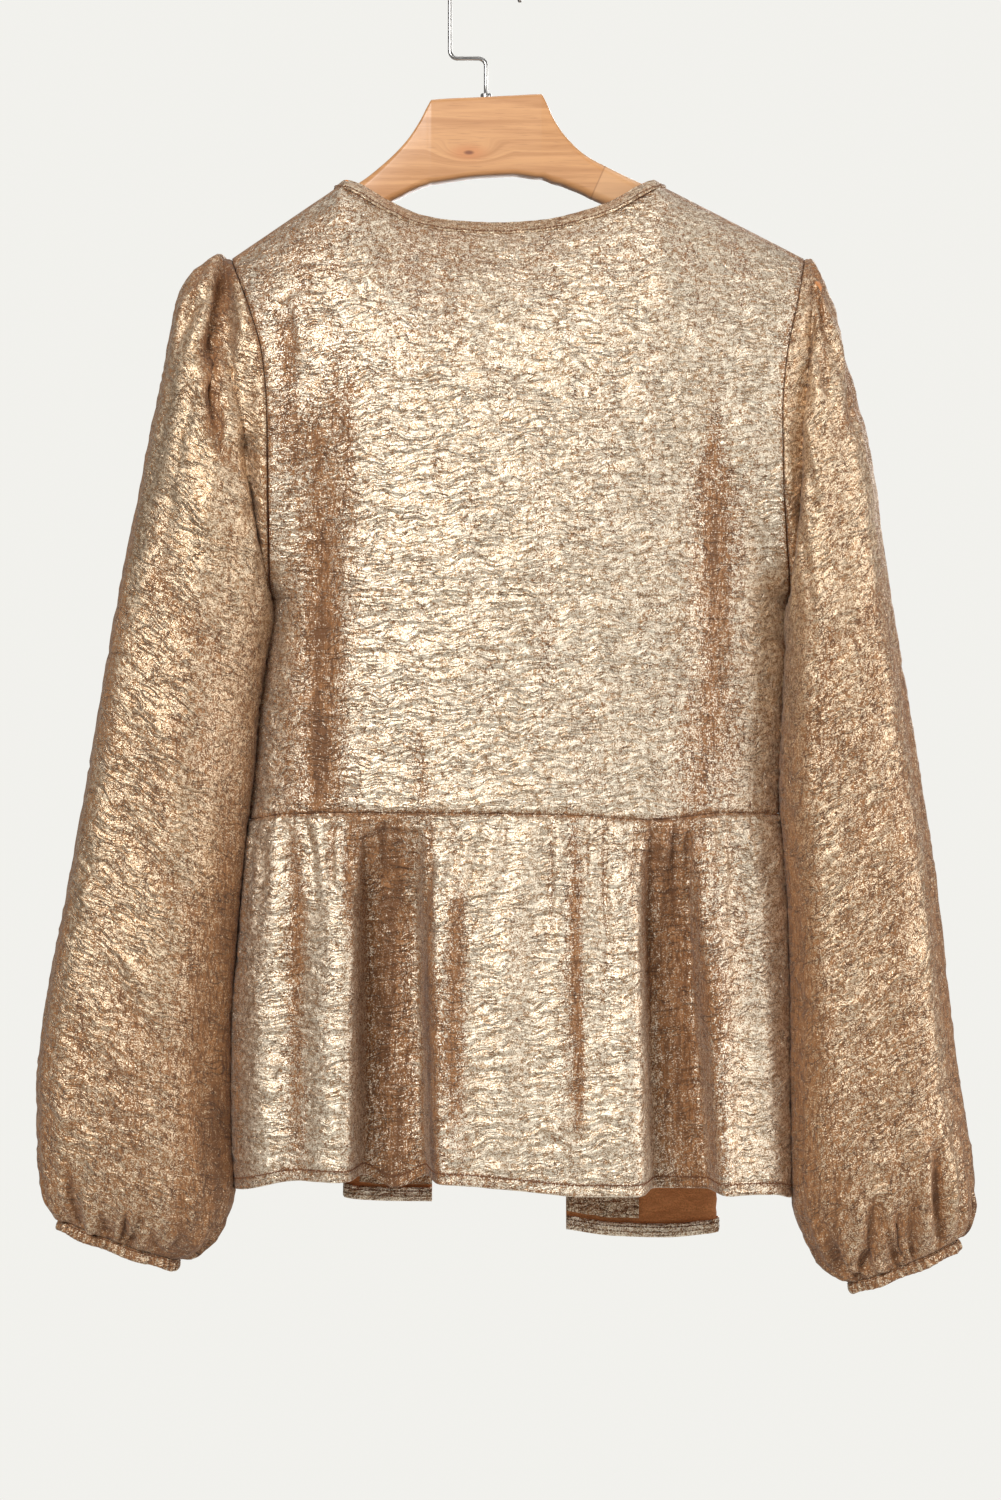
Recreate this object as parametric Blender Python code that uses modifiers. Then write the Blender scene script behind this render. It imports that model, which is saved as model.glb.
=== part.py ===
"""A long-sleeved babydoll blouse with a gathered peplum, hanging on a wooden hanger.

Sizes are in millimetres until a mesh is made. +Z is up, and tables give heights as "down", the distance
below the origin, which is the inside of the hook's crown. The back of the garment faces -Y, and left and
right are those of someone who looks at its back.
"""

import math

import bmesh
import bpy
import numpy as np

MM = 0.001
CLOTH = 1.2  # thickness of the cloth wall
TRIM = 1.0  # thickness of the facings and the neckband
SEAM_GAP = 0.3
FOLD_GAP = 0.4  # half of the space between a front and a back at their shared seam
LIFT = SEAM_GAP + (CLOTH + TRIM) / 2  # how far a strip that lies on a panel is moved out
FRONT_BAND_EXTRA = 0.55  # the same strip needs more on the front, whose V twists the cloth

SHOULDER_TIP_DOWN = 205.3
ARMPIT_DOWN = 426.0
LEFT_TIP_X = -166.0
RIGHT_TIP_X = 204.8
LEFT_NECK_X = -93.6
RIGHT_NECK_X = 108.5
NECK_POINT_DOWN = 156.5
CENTRE_X = 8.0
NECK_LEAN = 16.0  # how far behind the hanger the back neckline hangs
FRONT_LEAN = 42.0  # the same for the bottom of the front's V
SHOULDER_REACH = 110.0  # the drop over which the cloth rounds from the shoulder to its full depth
ARMHOLE_DEPTH = 45.0  # half of the armhole's width from front to back
WAIST_DOWN = 566.0
BACK_DROP = 238.0  # from the waist seam to the back hem
WAIST_DEPTH = 52.0
HEM_DEPTH = 66.0
BAND_WIDTH = 6.5
FACING_WIDTH = 50.0
FACING_RISE = 9.0  # from the hem up to the facing's lower edge
CUFF_HEIGHT = 5.8
CUFF_DEPTH = 19.0
CUFF_BULGE = 1.3
CUFF_CREASE = 1.1
CUFF_GAP = 0.8
GATHERS_BACK = 28
GATHERS_FRONT = 12
SLEEVE_POINTS = 36
SHOULDER_COLUMNS = (5, 6)  # columns of a bodice between the armhole and the neck, on the left and right
ARMHOLE_ROWS = SLEEVE_POINTS // 4
LOWER_ROWS = 5

WIRE_RADIUS = 1.4
CROOK_RADIUS = 24.7
WIRE_BEND = 5.0
STEM_X = -1.3
CRANK_DOWN = 74.5
WOOD_TOP_DOWN = 100.4
BORE_DEPTH = 12.0
HANGER_SEAT = 1.6  # from the shoulder seam's middle line to the ridge of the wood under it


def table(names, *rows):
    """A dictionary of columns, from rows of numbers."""
    return dict(zip(names.split(), np.array(rows, float).T))


BODY = table(
    "down left right back front",
    (205.3, -166.0, 204.8, 57, 55),
    (240, -152.5, 197.0, 58, 56),
    (275, -142.6, 189.5, 59, 58),
    (310, -139.6, 186.6, 60, 60),
    (350, -139.2, 187.5, 60, 62),
    (390, -139.4, 190.5, 59, 62),
    (426, -140.4, 194.2, 57, 61),
    (460, -143.5, 193.2, 55, 58),
    (500, -149.0, 191.4, 53, 55),
    (535, -152.0, 189.8, 52, 53),
    (566, -155.0, 188.6, 52, 52),
)
BACK_NECKLINE = table(
    "x down",
    (-93.6, 156.5),
    (-85, 160),
    (-64, 172.5),
    (-42, 181.8),
    (-22, 185),
    (7, 186.3),
    (36, 184.5),
    (63, 178.5),
    (80, 172.5),
    (102, 159.8),
    (108.5, 156.5),
)
FRONT_NECKLINE = table(
    "share down",
    (0.0, 156.5),
    (0.3, 192),
    (0.7, 243),
    (1.0, 285),
)
WAIST_SEAM = table(
    "share down",
    (0.00, 569),
    (0.07, 565),
    (0.25, 563.5),
    (0.60, 565),
    (0.75, 568),
    (0.90, 564),
    (1.00, 565),
)

# How the peplum opens between the waist seam and the hem
PEPLUM_ROWS = table(
    "share gather fold spread",
    (0.000, 0.0, 0.00, 0.00),
    (0.012, 0.0, 0.00, 0.00),
    (0.060, 2.4, 0.14, 0.10),
    (0.160, 3.2, 0.46, 0.32),
    (0.320, 2.3, 0.84, 0.62),
    (0.540, 1.3, 0.96, 0.86),
    (0.770, 0.7, 1.00, 1.00),
    (1.000, 0.4, 1.00, 1.00),
)
PEPLUM_SIDES = table(
    "down left right",
    (563, -155.0, 188.6),
    (590, -158.0, 192.0),
    (621, -160.8, 194.2),
    (654, -163.5, 195.2),
    (686, -166.3, 195.8),
    (751, -167.3, 196.4),
    (814, -164.0, 197.5),
)
BACK_FOLDS = table(
    "waist_x hem_x waist_half hem_half depth sharpness",
    (-62, -60, 20, 24, 50, 7),
    (112, 124, 16, 22, 38, 6),
    (-120, -124, 9, 14, 5, 2),
    (-5, -2, 9, 16, 4, 2),
    (32, 30, 8, 20, 5, 2),
    (70, 68, 8, 15, 5, 2),
    (158, 168, 8, 12, 5, 2),
)
BACK_HEM = table(
    "x down",
    (-164, 808),
    (-118, 797),
    (-84, 796.5),
    (-60, 806),
    (-36, 796.5),
    (18, 801),
    (66, 805),
    (102, 804.5),
    (146, 806.5),
    (185, 809),
    (197.5, 814),
)
FRONT_LEFT_FOLDS = table(
    "waist_share x y down ripple",
    (0.000, -164, 0, 808, 0),
    (0.060, -158, 34, 806, 1),
    (0.160, -128, 62, 806, 1),
    (0.260, -98, 72, 808, 1),
    (0.320, -76, 75, 812, 0),
    (0.335, -68, 71, 815, 0),
    (0.345, -76, 67, 818, 0),
    (0.355, -88, 65, 821, 0),
    (0.365, -95.5, 61, 823.5, 0),
    (0.375, -88, 57, 824.5, 0),
    (0.420, -62, 56, 825.5, 1),
    (0.474, -37.7, 55, 825.5, 0),
)
FRONT_RIGHT_FOLDS = table(
    "waist_share x y down ripple",
    (1.000, 197.5, 0, 814, 0),
    (0.955, 191, 34, 813, 1),
    (0.880, 170, 60, 814, 1),
    (0.800, 147, 71, 818, 1),
    (0.755, 130, 74, 824, 0),
    (0.740, 122, 70, 829, 0),
    (0.730, 130, 66, 835, 0),
    (0.720, 143, 64, 842, 0),
    (0.710, 153, 60, 846.5, 0),
    (0.700, 146, 56, 847.5, 0),
    (0.620, 118, 57, 850, 1),
    (0.540, 84, 57, 849, 1),
    (0.474, 52, 54, 844, 0),
)

# Each ring of a sleeve runs from its inner point, under the arm, to its outer point, over the arm
SLEEVE_LEFT = table(
    "outer_x outer_down inner_x inner_down depth gather fold",
    (-172.9, 203.5, -144.7, 427.8, 34, 1.3, 0),
    (-182.7, 206.7, -145.4, 431, 44, 2.8, 0),
    (-193.0, 216.5, -146.1, 437, 50, 2.8, 0),
    (-200.2, 231, -147.0, 445, 52, 2.0, 0),
    (-209.0, 275, -148.8, 462, 53, 1.0, 0.5),
    (-220.4, 329, -152.2, 482, 52, 0.5, 1.0),
    (-229.0, 378, -157.3, 506, 52, 0.3, 1.5),
    (-242.5, 446, -162.2, 540, 51, 0.2, 2.0),
    (-257.0, 530, -164.7, 588, 50, 0.2, 2.5),
    (-271.0, 608, -168.5, 642, 49, 0.2, 2.5),
    (-285.0, 681, -169.8, 706, 48, 0.3, 2.5),
    (-292.0, 740, -170.3, 765, 47, 0.6, 2.5),
    (-291.8, 783, -169.2, 810, 43, 1.3, 2.0),
    (-289.0, 808, -174.5, 836, 36, 2.3, 1.0),
    (-284.0, 821, -187.0, 850, 26, 2.2, 0),
    (-278.3, 827.5, -199.5, 855.5, 19, 1.1, 0),
)
SLEEVE_RIGHT = table(
    "outer_x outer_down inner_x inner_down depth gather fold",
    (209.8, 204.6, 198.2, 427.8, 34, 1.3, 0),
    (213.8, 211, 198.7, 431, 43, 2.4, 0),
    (218.6, 228, 198.7, 437, 48, 2.4, 0),
    (226.5, 255, 198.2, 445, 50, 1.8, 0),
    (238.0, 292, 197.6, 462, 51, 1.0, 0.5),
    (247.5, 335, 197.0, 482, 51, 0.5, 1.0),
    (254.0, 382, 196.2, 508, 50, 0.3, 1.5),
    (264.0, 446, 194.6, 545, 50, 0.2, 2.0),
    (277.5, 528, 195.0, 592, 50, 0.2, 2.5),
    (290.0, 608, 198.4, 645, 49, 0.2, 2.5),
    (297.7, 680, 199.1, 708, 48, 0.3, 2.5),
    (306.5, 748, 199.8, 768, 46, 0.6, 2.5),
    (314.0, 792, 201.8, 815, 42, 1.3, 2.0),
    (315.0, 818, 207.0, 843, 35, 2.3, 1.0),
    (311.0, 832.5, 218.0, 860, 26, 2.2, 0),
    (305.3, 840.8, 233.0, 870.2, 19, 1.1, 0),
)
SEAM_CLEAR = table(
    "share out",
    (0.0, 0.45),
    (0.5, 0.5),
    (0.7, 0.85),
    (0.85, 1.1),
    (1.0, 1.15),
)

# Sections of the wood; a top of 0 follows the shoulder seam
HANGER = table(
    "x top height thickness edge",
    (-158.0, 0, 8, 9, 4),
    (-155.5, 0, 14, 12.5, 6),
    (-148, 0, 19, 15, 7.4),
    (-125, 0, 23, 15, 7.4),
    (-100, 0, 25, 15, 7.4),
    (-85.8, 156.7, 26.5, 15, 7),
    (-67, 143, 27.5, 15, 5),
    (-52.7, 128.7, 34, 15, 4),
    (-43.6, 115, 43.5, 15, 4),
    (-39, 106, 51, 15, 4),
    (-36.4, 102.4, 53.6, 15, 3),
    (-3.3, 100.6, 51, 15, 3),
    (16.3, 99.6, 51.2, 15, 3),
    (34.5, 98.8, 54, 15, 3),
    (37, 102, 51.5, 15, 4),
    (41.6, 112.5, 43, 15, 4),
    (49.4, 124.8, 33, 15, 4),
    (63, 137.8, 26, 15, 5),
    (77.4, 145.6, 25, 15, 6),
    (102.7, 157.3, 24.5, 15, 7.2),
    (125, 0, 24, 15, 7.4),
    (155, 0, 22, 15, 7.4),
    (180, 0, 19, 15, 7.4),
    (187.5, 0, 14, 12.5, 6),
    (190.0, 0, 8, 9, 4),
)

COLOURS = {
    "cloth_back": ((0.47, 0.33, 0.20, 1), 0.38, 0.75),
    "cloth_front": ((0.43, 0.30, 0.18, 1), 0.38, 0.75),
    "cloth_peplum": ((0.50, 0.35, 0.21, 1), 0.38, 0.75),
    "cloth_sleeve": ((0.40, 0.26, 0.15, 1), 0.42, 0.7),
    "cloth_trim": ((0.33, 0.20, 0.11, 1), 0.45, 0.6),
    "wood": ((0.70, 0.42, 0.19, 1), 0.45, 0.0),
    "steel": ((0.62, 0.61, 0.60, 1), 0.25, 1.0),
}


def clear_scene():
    for thing in list(bpy.data.objects):
        bpy.data.objects.remove(thing)


def collection(name):
    made = bpy.data.collections.new(name)
    bpy.context.scene.collection.children.link(made)
    return made


def material(name, finish):
    colour, roughness, metallic = COLOURS[finish]
    made = bpy.data.materials.new(name)
    made.use_nodes = True
    shader = made.node_tree.nodes["Principled BSDF"]
    shader.inputs["Base Color"].default_value = colour
    shader.inputs["Roughness"].default_value = roughness
    shader.inputs["Metallic"].default_value = metallic
    made.diffuse_color = colour
    return made


def add(name, mesh, finish, group):
    made = bpy.data.objects.new(name, mesh)
    made.data.materials.append(material(name, finish))
    group.objects.link(made)
    return made


def smooth(at, known, values):
    """A curve through the table's points that never swings past them: a cubic whose slope at each point is
    the harmonic mean of the slopes on its two sides."""
    step = np.diff(known)
    rise = np.diff(values) / step
    slope = np.zeros(len(known))
    same = rise[:-1] * rise[1:] > 0
    slope[1:-1][same] = 2 * (rise[:-1] * rise[1:])[same] / (rise[:-1] + rise[1:])[same]
    slope[0], slope[-1] = rise[0], rise[-1]
    at = np.clip(at, known[0], known[-1])
    k = np.clip(np.searchsorted(known, at, side="right") - 1, 0, len(known) - 2)
    t = (at - known[k]) / step[k]
    ends = values[k] * (1 + 2 * t) * (1 - t) ** 2 + values[k + 1] * t * t * (3 - 2 * t)
    return ends + step[k] * t * (1 - t) * (slope[k] * (1 - t) - slope[k + 1] * t)


def read(columns, key, value, at):
    return smooth(np.asarray(at, float), columns[key], columns[value])


def stack(x, y, down):
    """An array of points from arrays of places."""
    return np.stack(np.broadcast_arrays(x, y, -down), axis=-1)


def sheet_mesh(name, points, closed):
    """The open surface through a grid of points, joined from the last column to the first if closed."""
    rows, columns = points.shape[:2]
    across = columns if closed else columns - 1
    faces = []
    for i in range(rows - 1):
        for j in range(across):
            k = (j + 1) % columns
            faces.append((i * columns + j, i * columns + k, (i + 1) * columns + k, (i + 1) * columns + j))
    mesh = bpy.data.meshes.new(name)
    mesh.from_pydata((points.reshape(-1, 3) * MM).tolist(), [], faces)
    return mesh


def wall(name, points, finish, group, thick=CLOTH, closed=False):
    """A cloth piece: the surface through its points, given a thickness on both sides."""
    made = add(name, sheet_mesh(name, points, closed), finish, group)
    made.data.shade_smooth()
    solid = made.modifiers.new("cloth thickness", "SOLIDIFY")
    solid.thickness = thick * MM
    solid.offset = 0.0
    return made


def shoulder_down(x):
    """Height of the shoulder seams, straight from each neck point to each tip."""
    x = np.asarray(x, float)
    left = (LEFT_NECK_X - x) / (LEFT_NECK_X - LEFT_TIP_X)
    right = (x - RIGHT_NECK_X) / (RIGHT_TIP_X - RIGHT_NECK_X)
    share = np.maximum(np.maximum(left, right), 0)
    return NECK_POINT_DOWN + share * (SHOULDER_TIP_DOWN - NECK_POINT_DOWN)


def top_x(share):
    return LEFT_TIP_X + share * (RIGHT_TIP_X - LEFT_TIP_X)


def top_share(x):
    return (x - LEFT_TIP_X) / (RIGHT_TIP_X - LEFT_TIP_X)


def top_down(share, face):
    """Height of a bodice's top edge, which is its shoulder seams and its neckline."""
    x = top_x(share)
    inside = (x > LEFT_NECK_X) & (x < RIGHT_NECK_X)
    if face < 0:
        neck = read(BACK_NECKLINE, "x", "down", x)
    else:
        half = np.where(x < CENTRE_X, CENTRE_X - LEFT_NECK_X, RIGHT_NECK_X - CENTRE_X)
        neck = read(FRONT_NECKLINE, "share", "down", 1 - np.abs(x - CENTRE_X) / half)
    return np.where(inside, neck, shoulder_down(x))


def body_sides(down):
    return read(BODY, "down", "left", down), read(BODY, "down", "right", down)


def body(share, down, face):
    """A point of the bodice. From side to side its depth is an arch. It rounds over the shoulder as the
    root of a sine of the drop, and at the sides it keeps to the egg-shaped armhole."""
    share, down = np.broadcast_arrays(np.asarray(share, float), np.asarray(down, float))
    left, right = body_sides(down)
    x = left + share * (right - left)
    drop = np.maximum(down - top_down(share, face), 0)
    armhole_length = ARMPIT_DOWN - SHOULDER_TIP_DOWN
    level = np.clip((down - SHOULDER_TIP_DOWN) / armhole_length, 0, 1)
    by_level = np.clip(level / 0.4, 0, 1)
    low = np.clip(drop / armhole_length, 0, 1) * (1 - by_level) + level * by_level
    armhole = ARMHOLE_DEPTH * (1 - np.abs(2 * low - 1) ** 2.2) ** 0.6
    if face < 0:
        across = (top_x(share) - LEFT_NECK_X) / (RIGHT_NECK_X - LEFT_NECK_X)
        inside = np.clip(across, 0, 1)
        lean = NECK_LEAN * np.sqrt(1 - np.abs(2 * inside - 1) ** 10)
        rounding = 0.5 + 0.3 * np.sin(math.pi * inside) ** 2
    else:
        half = np.where(top_x(share) < CENTRE_X, CENTRE_X - LEFT_NECK_X, RIGHT_NECK_X - CENTRE_X)
        inside = np.clip(1 - np.abs(top_x(share) - CENTRE_X) / half, 0, 1)
        lean = NECK_LEAN * np.sqrt(1 - (1 - inside) ** 16) + (FRONT_LEAN - NECK_LEAN) * inside
        rounding = 0.5 + 0.3 * inside
    fall = np.sin(math.pi / 2 * np.clip(drop / SHOULDER_REACH, 0, 1)) ** rounding
    depth = read(BODY, "down", "back" if face < 0 else "front", down)
    full = lean + (depth - lean) * fall
    below = np.clip((low - 0.5) / 0.5, 0, 1)
    side = np.abs(2 * share - 1)
    arch = (1 - side ** (4 - 1.4 * below)) ** (1 - 0.45 * below)
    y = armhole * side ** (4 + 14 * below) + full * arch
    return stack(x, face * (FOLD_GAP + y), down)


def bodice_rows(share, face):
    """Heights down each column: closer together at the shoulder and at the armpit. The second is at the
    lower edge of the neckline's band."""
    turn = (1 - np.cos(np.linspace(0, math.pi, ARMHOLE_ROWS + 1)[:, None])) / 2
    top = top_down(share[0], face)[None, :]
    upper = top + (ARMPIT_DOWN - top) * turn
    x = top_x(share[0])
    in_neck = (x > LEFT_NECK_X + 1) & (x < RIGHT_NECK_X - 1)
    slant = np.hypot(1, np.gradient(top[0], x))
    upper[1] = top[0] + BAND_WIDTH * np.where(in_neck, np.minimum(slant, 1.35), 1)
    steps = np.linspace(0, 1, LOWER_ROWS + 1)[1:, None]
    waist = read(WAIST_SEAM, "share", "down", share[-1])[None, :]
    return np.vstack([upper, ARMPIT_DOWN + (waist - ARMPIT_DOWN) * steps])


def bodice(name, stops, counts, face, finish, group):
    """A bodice panel. Its columns are crowded at the neck points on the top edge, and at the side seams
    below, where the cloth turns fastest."""
    left_neck, right_neck = top_share(LEFT_NECK_X), top_share(RIGHT_NECK_X)
    pieces = []
    for k, count in enumerate(counts):
        step = np.linspace(0, 1, count + 1)
        if face < 0 and k == 1:
            step = (1 - np.cos(math.pi * step)) / 2
        elif stops[k] == left_neck:
            step = 1 - np.cos(math.pi / 2 * step)
        elif stops[k + 1] == right_neck:
            step = np.sin(math.pi / 2 * step)
        pieces.append((stops[k] + (stops[k + 1] - stops[k]) * step)[:-1])
    top = np.append(np.concatenate(pieces), stops[-1])
    even = np.linspace(0, 1, len(top))
    if face < 0:
        crowded = (1 - np.cos(math.pi * even)) / 2
    elif stops[0] == 0:
        crowded = 1 - np.sin(math.pi / 2 * (1 - even))
    else:
        crowded = np.sin(math.pi / 2 * even)
    low = top[0] + (top[-1] - top[0]) * (crowded + even) / 2
    rows = ARMHOLE_ROWS + LOWER_ROWS
    mix = np.clip(np.arange(rows + 1) / (ARMHOLE_ROWS - 1), 0, 1)[:, None] ** 2
    share = top * (1 - mix) + low * mix
    points = body(share, bodice_rows(share, face), face)
    wall(name, points, finish, group)
    return points


def sleeve_start(side, panels):
    """The sleeve's first ring: the panels' edges round the armhole, moved out by the seam gap."""
    ring = []
    column = 0 if side < 0 else -1
    back = panels["bodice_back"][: ARMHOLE_ROWS + 1, column]
    front = panels[f"bodice_front_{'left' if side < 0 else 'right'}"][: ARMHOLE_ROWS + 1, column]
    half = SLEEVE_POINTS // 2
    for j in range(SLEEVE_POINTS):
        edge = back if j <= half else front
        at = ARMHOLE_ROWS - j / 2 if j <= half else (j - half) / 2
        k = min(int(at), ARMHOLE_ROWS - 1)
        ring.append(edge[k] + (edge[k + 1] - edge[k]) * (at - k))
    ring = np.array(ring)
    ring[0, 1] = ring[half, 1] = 0
    low = (-ring[:, 2] - SHOULDER_TIP_DOWN) / (ARMPIT_DOWN - SHOULDER_TIP_DOWN)
    ring[:, 0] += side * read(SEAM_CLEAR, "share", "out", low)
    return ring


def crease_pattern(count):
    """Creases of uneven depth, one out and one in, round a ring."""
    j = np.arange(count)
    return np.where(j % 2, 1, -1) * (0.7 + 0.3 * np.sin(2.3 * j))


def sleeve_rings(rows, side, panels):
    """All rings of a sleeve. Each is an oval between its inner and outer points, with gathers that are
    kept to the cap at the top and go all round at the cuff, and long soft folds between."""
    start = sleeve_start(side, panels)
    rings = [start, start + np.array([side * 2.6, 0, 0])]
    turn = 2 * math.pi * np.arange(SLEEVE_POINTS) / SLEEVE_POINTS
    creases = crease_pattern(SLEEVE_POINTS)
    cap = np.clip(1.6 - 1.6 * np.maximum(np.cos(turn), 0) ** 2, 0, 1)
    for k in range(len(rows["depth"])):
        inner = np.array([rows["inner_x"][k], -rows["inner_down"][k]])
        outer = np.array([rows["outer_x"][k], -rows["outer_down"][k]])
        late = k / (len(rows["depth"]) - 1)
        all_round = np.clip((late - 0.6) / 0.2, 0, 1)
        swell = rows["gather"][k] * creases * (cap * (1 - all_round) + all_round)
        swell = swell + rows["fold"][k] * np.cos(5 * turn + side + 1.5 * late)
        half = np.linalg.norm(inner - outer) / 2
        along = np.cos(turn) * (1 + np.minimum(swell, 3) / half * (np.abs(np.cos(turn)) < 0.95))
        middle = (inner + outer) / 2
        place = middle + along[:, None] * (inner - outer) / 2
        depth = (rows["depth"][k] + swell) * np.abs(np.sin(turn)) ** 0.85 * np.sign(np.sin(turn))
        rings.append(np.column_stack([place[:, 0], -depth, place[:, 1]]))
    return np.array(rings)


def cuff_rings(rows):
    """The elastic casing: a short crinkled tube below the sleeve's last ring."""
    inner = np.array([rows["inner_x"][-1], -rows["inner_down"][-1]])
    outer = np.array([rows["outer_x"][-1], -rows["outer_down"][-1]])
    across = (inner - outer) / np.linalg.norm(inner - outer)
    away = np.array([across[1], -across[0]])
    away = away if away[1] < 0 else -away
    turn = 2 * math.pi * np.arange(SLEEVE_POINTS) / SLEEVE_POINTS
    creases = crease_pattern(SLEEVE_POINTS)
    rings = []
    for share, swell in ((0, 0), (0.5, 1), (1, 0.2)):
        out = CUFF_BULGE * swell + CUFF_CREASE * creases * (0.8 + 0.4 * share)
        half = np.linalg.norm(inner - outer) / 2 + out
        middle = (inner + outer) / 2 + away * (CUFF_GAP + CUFF_HEIGHT * share)
        place = middle + (np.cos(turn) * half)[:, None] * across
        depth = (CUFF_DEPTH + out) * np.abs(np.sin(turn)) ** 0.85 * np.sign(np.sin(turn))
        rings.append(np.column_stack([place[:, 0], -depth, place[:, 1]]))
    return np.array(rings)


def even_places(x, y, count):
    """Places at equal distances along a curve that is given by many points."""
    run = np.concatenate([[0], np.cumsum(np.hypot(np.diff(x), np.diff(y)))])
    return np.interp(np.linspace(0, run[-1], count + 1), run, np.arange(len(x)))


def gathered(points, rows_gather, gathers, ripple):
    """Moves each row of points in and out along its plan normal, as gathers."""
    tangent = np.gradient(points[..., :2], axis=1)
    tangent /= np.linalg.norm(tangent, axis=2, keepdims=True)
    count = points.shape[1]
    place = np.linspace(0, 1, count)
    phase = 2 * math.pi * (gathers * place + 0.35 * np.sin(9 * place))
    wave = np.cos(phase) * (0.75 + 0.25 * np.sin(17 * place)) * ripple
    push = rows_gather[:, None] * wave[None, :]
    points[..., 0] += push * tangent[..., 1]
    points[..., 1] -= push * tangent[..., 0]
    return points


def peplum_back_points():
    """The back peplum: at each height an arch from side to side, less its folds, sampled evenly."""
    columns = GATHERS_BACK * 3
    dense = np.linspace(0, 1, 1601)
    found = []
    for k, share in enumerate(PEPLUM_ROWS["share"]):
        level = WAIST_DOWN + share * BACK_DROP
        left = read(PEPLUM_SIDES, "down", "left", level)
        right = read(PEPLUM_SIDES, "down", "right", level)
        spread = PEPLUM_ROWS["spread"][k]
        side = np.sin(np.abs(2 * dense - 1) * math.pi / 2)
        across = 0.5 + 0.5 * side * np.sign(2 * dense - 1)
        x = left + across * (right - left)
        waist = WAIST_DEPTH * (1 - side**2.6) ** 0.55
        hem = HEM_DEPTH * (1 - side**3.2) ** 0.6
        y = waist + (hem - waist) * spread
        folds = BACK_FOLDS
        for f in range(len(folds["depth"])):
            centre = folds["waist_x"][f] + (folds["hem_x"][f] - folds["waist_x"][f]) * share
            half = folds["waist_half"][f] + (folds["hem_half"][f] - folds["waist_half"][f]) * share
            dip = 1 / (1 + np.abs((x - centre) / half) ** (2 * folds["sharpness"][f]))
            y = y - PEPLUM_ROWS["fold"][k] * folds["depth"][f] * dip
        at = even_places(x, y, columns)
        x, y, across = (np.interp(at, np.arange(len(dense)), v) for v in (x, y, across))
        top = read(WAIST_SEAM, "share", "down", across) + SEAM_GAP
        bottom = read(BACK_HEM, "x", "down", x)
        found.append(stack(x, -(FOLD_GAP + y), top + (bottom - top) * share))
    points = np.array(found)
    edge = np.sin(math.pi * np.linspace(0, 1, columns + 1)) ** 0.3
    return gathered(points, PEPLUM_ROWS["gather"], GATHERS_BACK, edge)


def peplum_front_points(folds, places):
    """A front peplum at places 0, the side seam, to 1, the open edge: straight lines from the waist
    seam's curve to the hem's curve, with the folds opening on the way down."""
    run = np.concatenate([[0], np.cumsum(np.hypot(np.diff(folds["x"]), np.diff(folds["y"])))])
    run /= run[-1]
    hem_x = smooth(places, run, folds["x"])
    hem_y = smooth(places, run, folds["y"])
    hem_down = smooth(places, run, folds["down"])
    waist_share = smooth(places, run, folds["waist_share"])
    ripple = np.interp(places, run, folds["ripple"])
    waist_down = read(WAIST_SEAM, "share", "down", waist_share)
    waist = body(waist_share, waist_down, 1)
    found = []
    for k, share in enumerate(PEPLUM_ROWS["share"]):
        spread, fold = PEPLUM_ROWS["spread"][k], PEPLUM_ROWS["fold"][k]
        x = waist[:, 0] + (hem_x - waist[:, 0]) * spread
        y = waist[:, 1] + (hem_y + FOLD_GAP - waist[:, 1]) * (spread + fold) / 2
        top = waist_down + SEAM_GAP
        found.append(stack(x, y, top + (hem_down - top) * share))
    return np.array(found), ripple


def front_run(folds):
    return np.sum(np.hypot(np.diff(folds["x"]), np.diff(folds["y"])))


def peplum_front(side, folds, group):
    """A front peplum and the facing that is turned inside its open edge."""
    name = "left" if side < 0 else "right"
    points, ripple = peplum_front_points(folds, np.linspace(0, 1, GATHERS_FRONT * 3 + 1))
    points = gathered(points, PEPLUM_ROWS["gather"], GATHERS_FRONT, ripple)
    wall(f"peplum_front_{name}", points, "cloth_peplum", group)
    columns = GATHERS_FRONT * 3
    first = int(round((1 - FACING_WIDTH / front_run(folds)) * columns))
    strip = points[1:, first:].copy()
    tangent = np.gradient(strip[..., :2], axis=1)
    tangent /= np.linalg.norm(tangent, axis=2, keepdims=True)
    strip[..., 0] += side * LIFT * tangent[..., 1]
    strip[..., 1] -= side * LIFT * tangent[..., 0]
    strip[-1, :, 2] += FACING_RISE
    wall(f"facing_{name}", strip, "cloth_trim", group, thick=TRIM)


def outward(points, face):
    """Directions out of a panel at its grid points: the cross product of the steps along and down it."""
    normal = np.cross(np.gradient(points, axis=1), np.gradient(points, axis=0))
    normal /= np.linalg.norm(normal, axis=2, keepdims=True)
    return normal * np.sign(np.sum(normal[..., 1]) * face)


def band_strip(points, face, neck, shoulder):
    """Two rows of points on a panel, lifted off it: its neckline, and a line below it. Column neck is at
    the neck point, and shoulder is +1 or -1 towards the shoulder. The first pair lies on the seam."""
    normal = outward(points, face)
    lifted = points + (LIFT + (FRONT_BAND_EXTRA if face > 0 else 0)) * normal
    columns = np.arange(points.shape[1])
    columns = columns[neck:] if shoulder < 0 else columns[neck::-1]
    edge = lifted[0]
    reach = np.linalg.norm(edge[neck + shoulder] - edge[neck])
    on_seam = edge[neck] + (edge[neck + shoulder] - edge[neck]) * BAND_WIDTH / reach
    upper = [edge[neck], (edge[neck] + edge[columns[1]]) / 2] + [edge[c] for c in columns[1:]]
    lower = [on_seam] + [lifted[1, c] for c in columns]
    return np.array(upper), np.array(lower)


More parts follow.
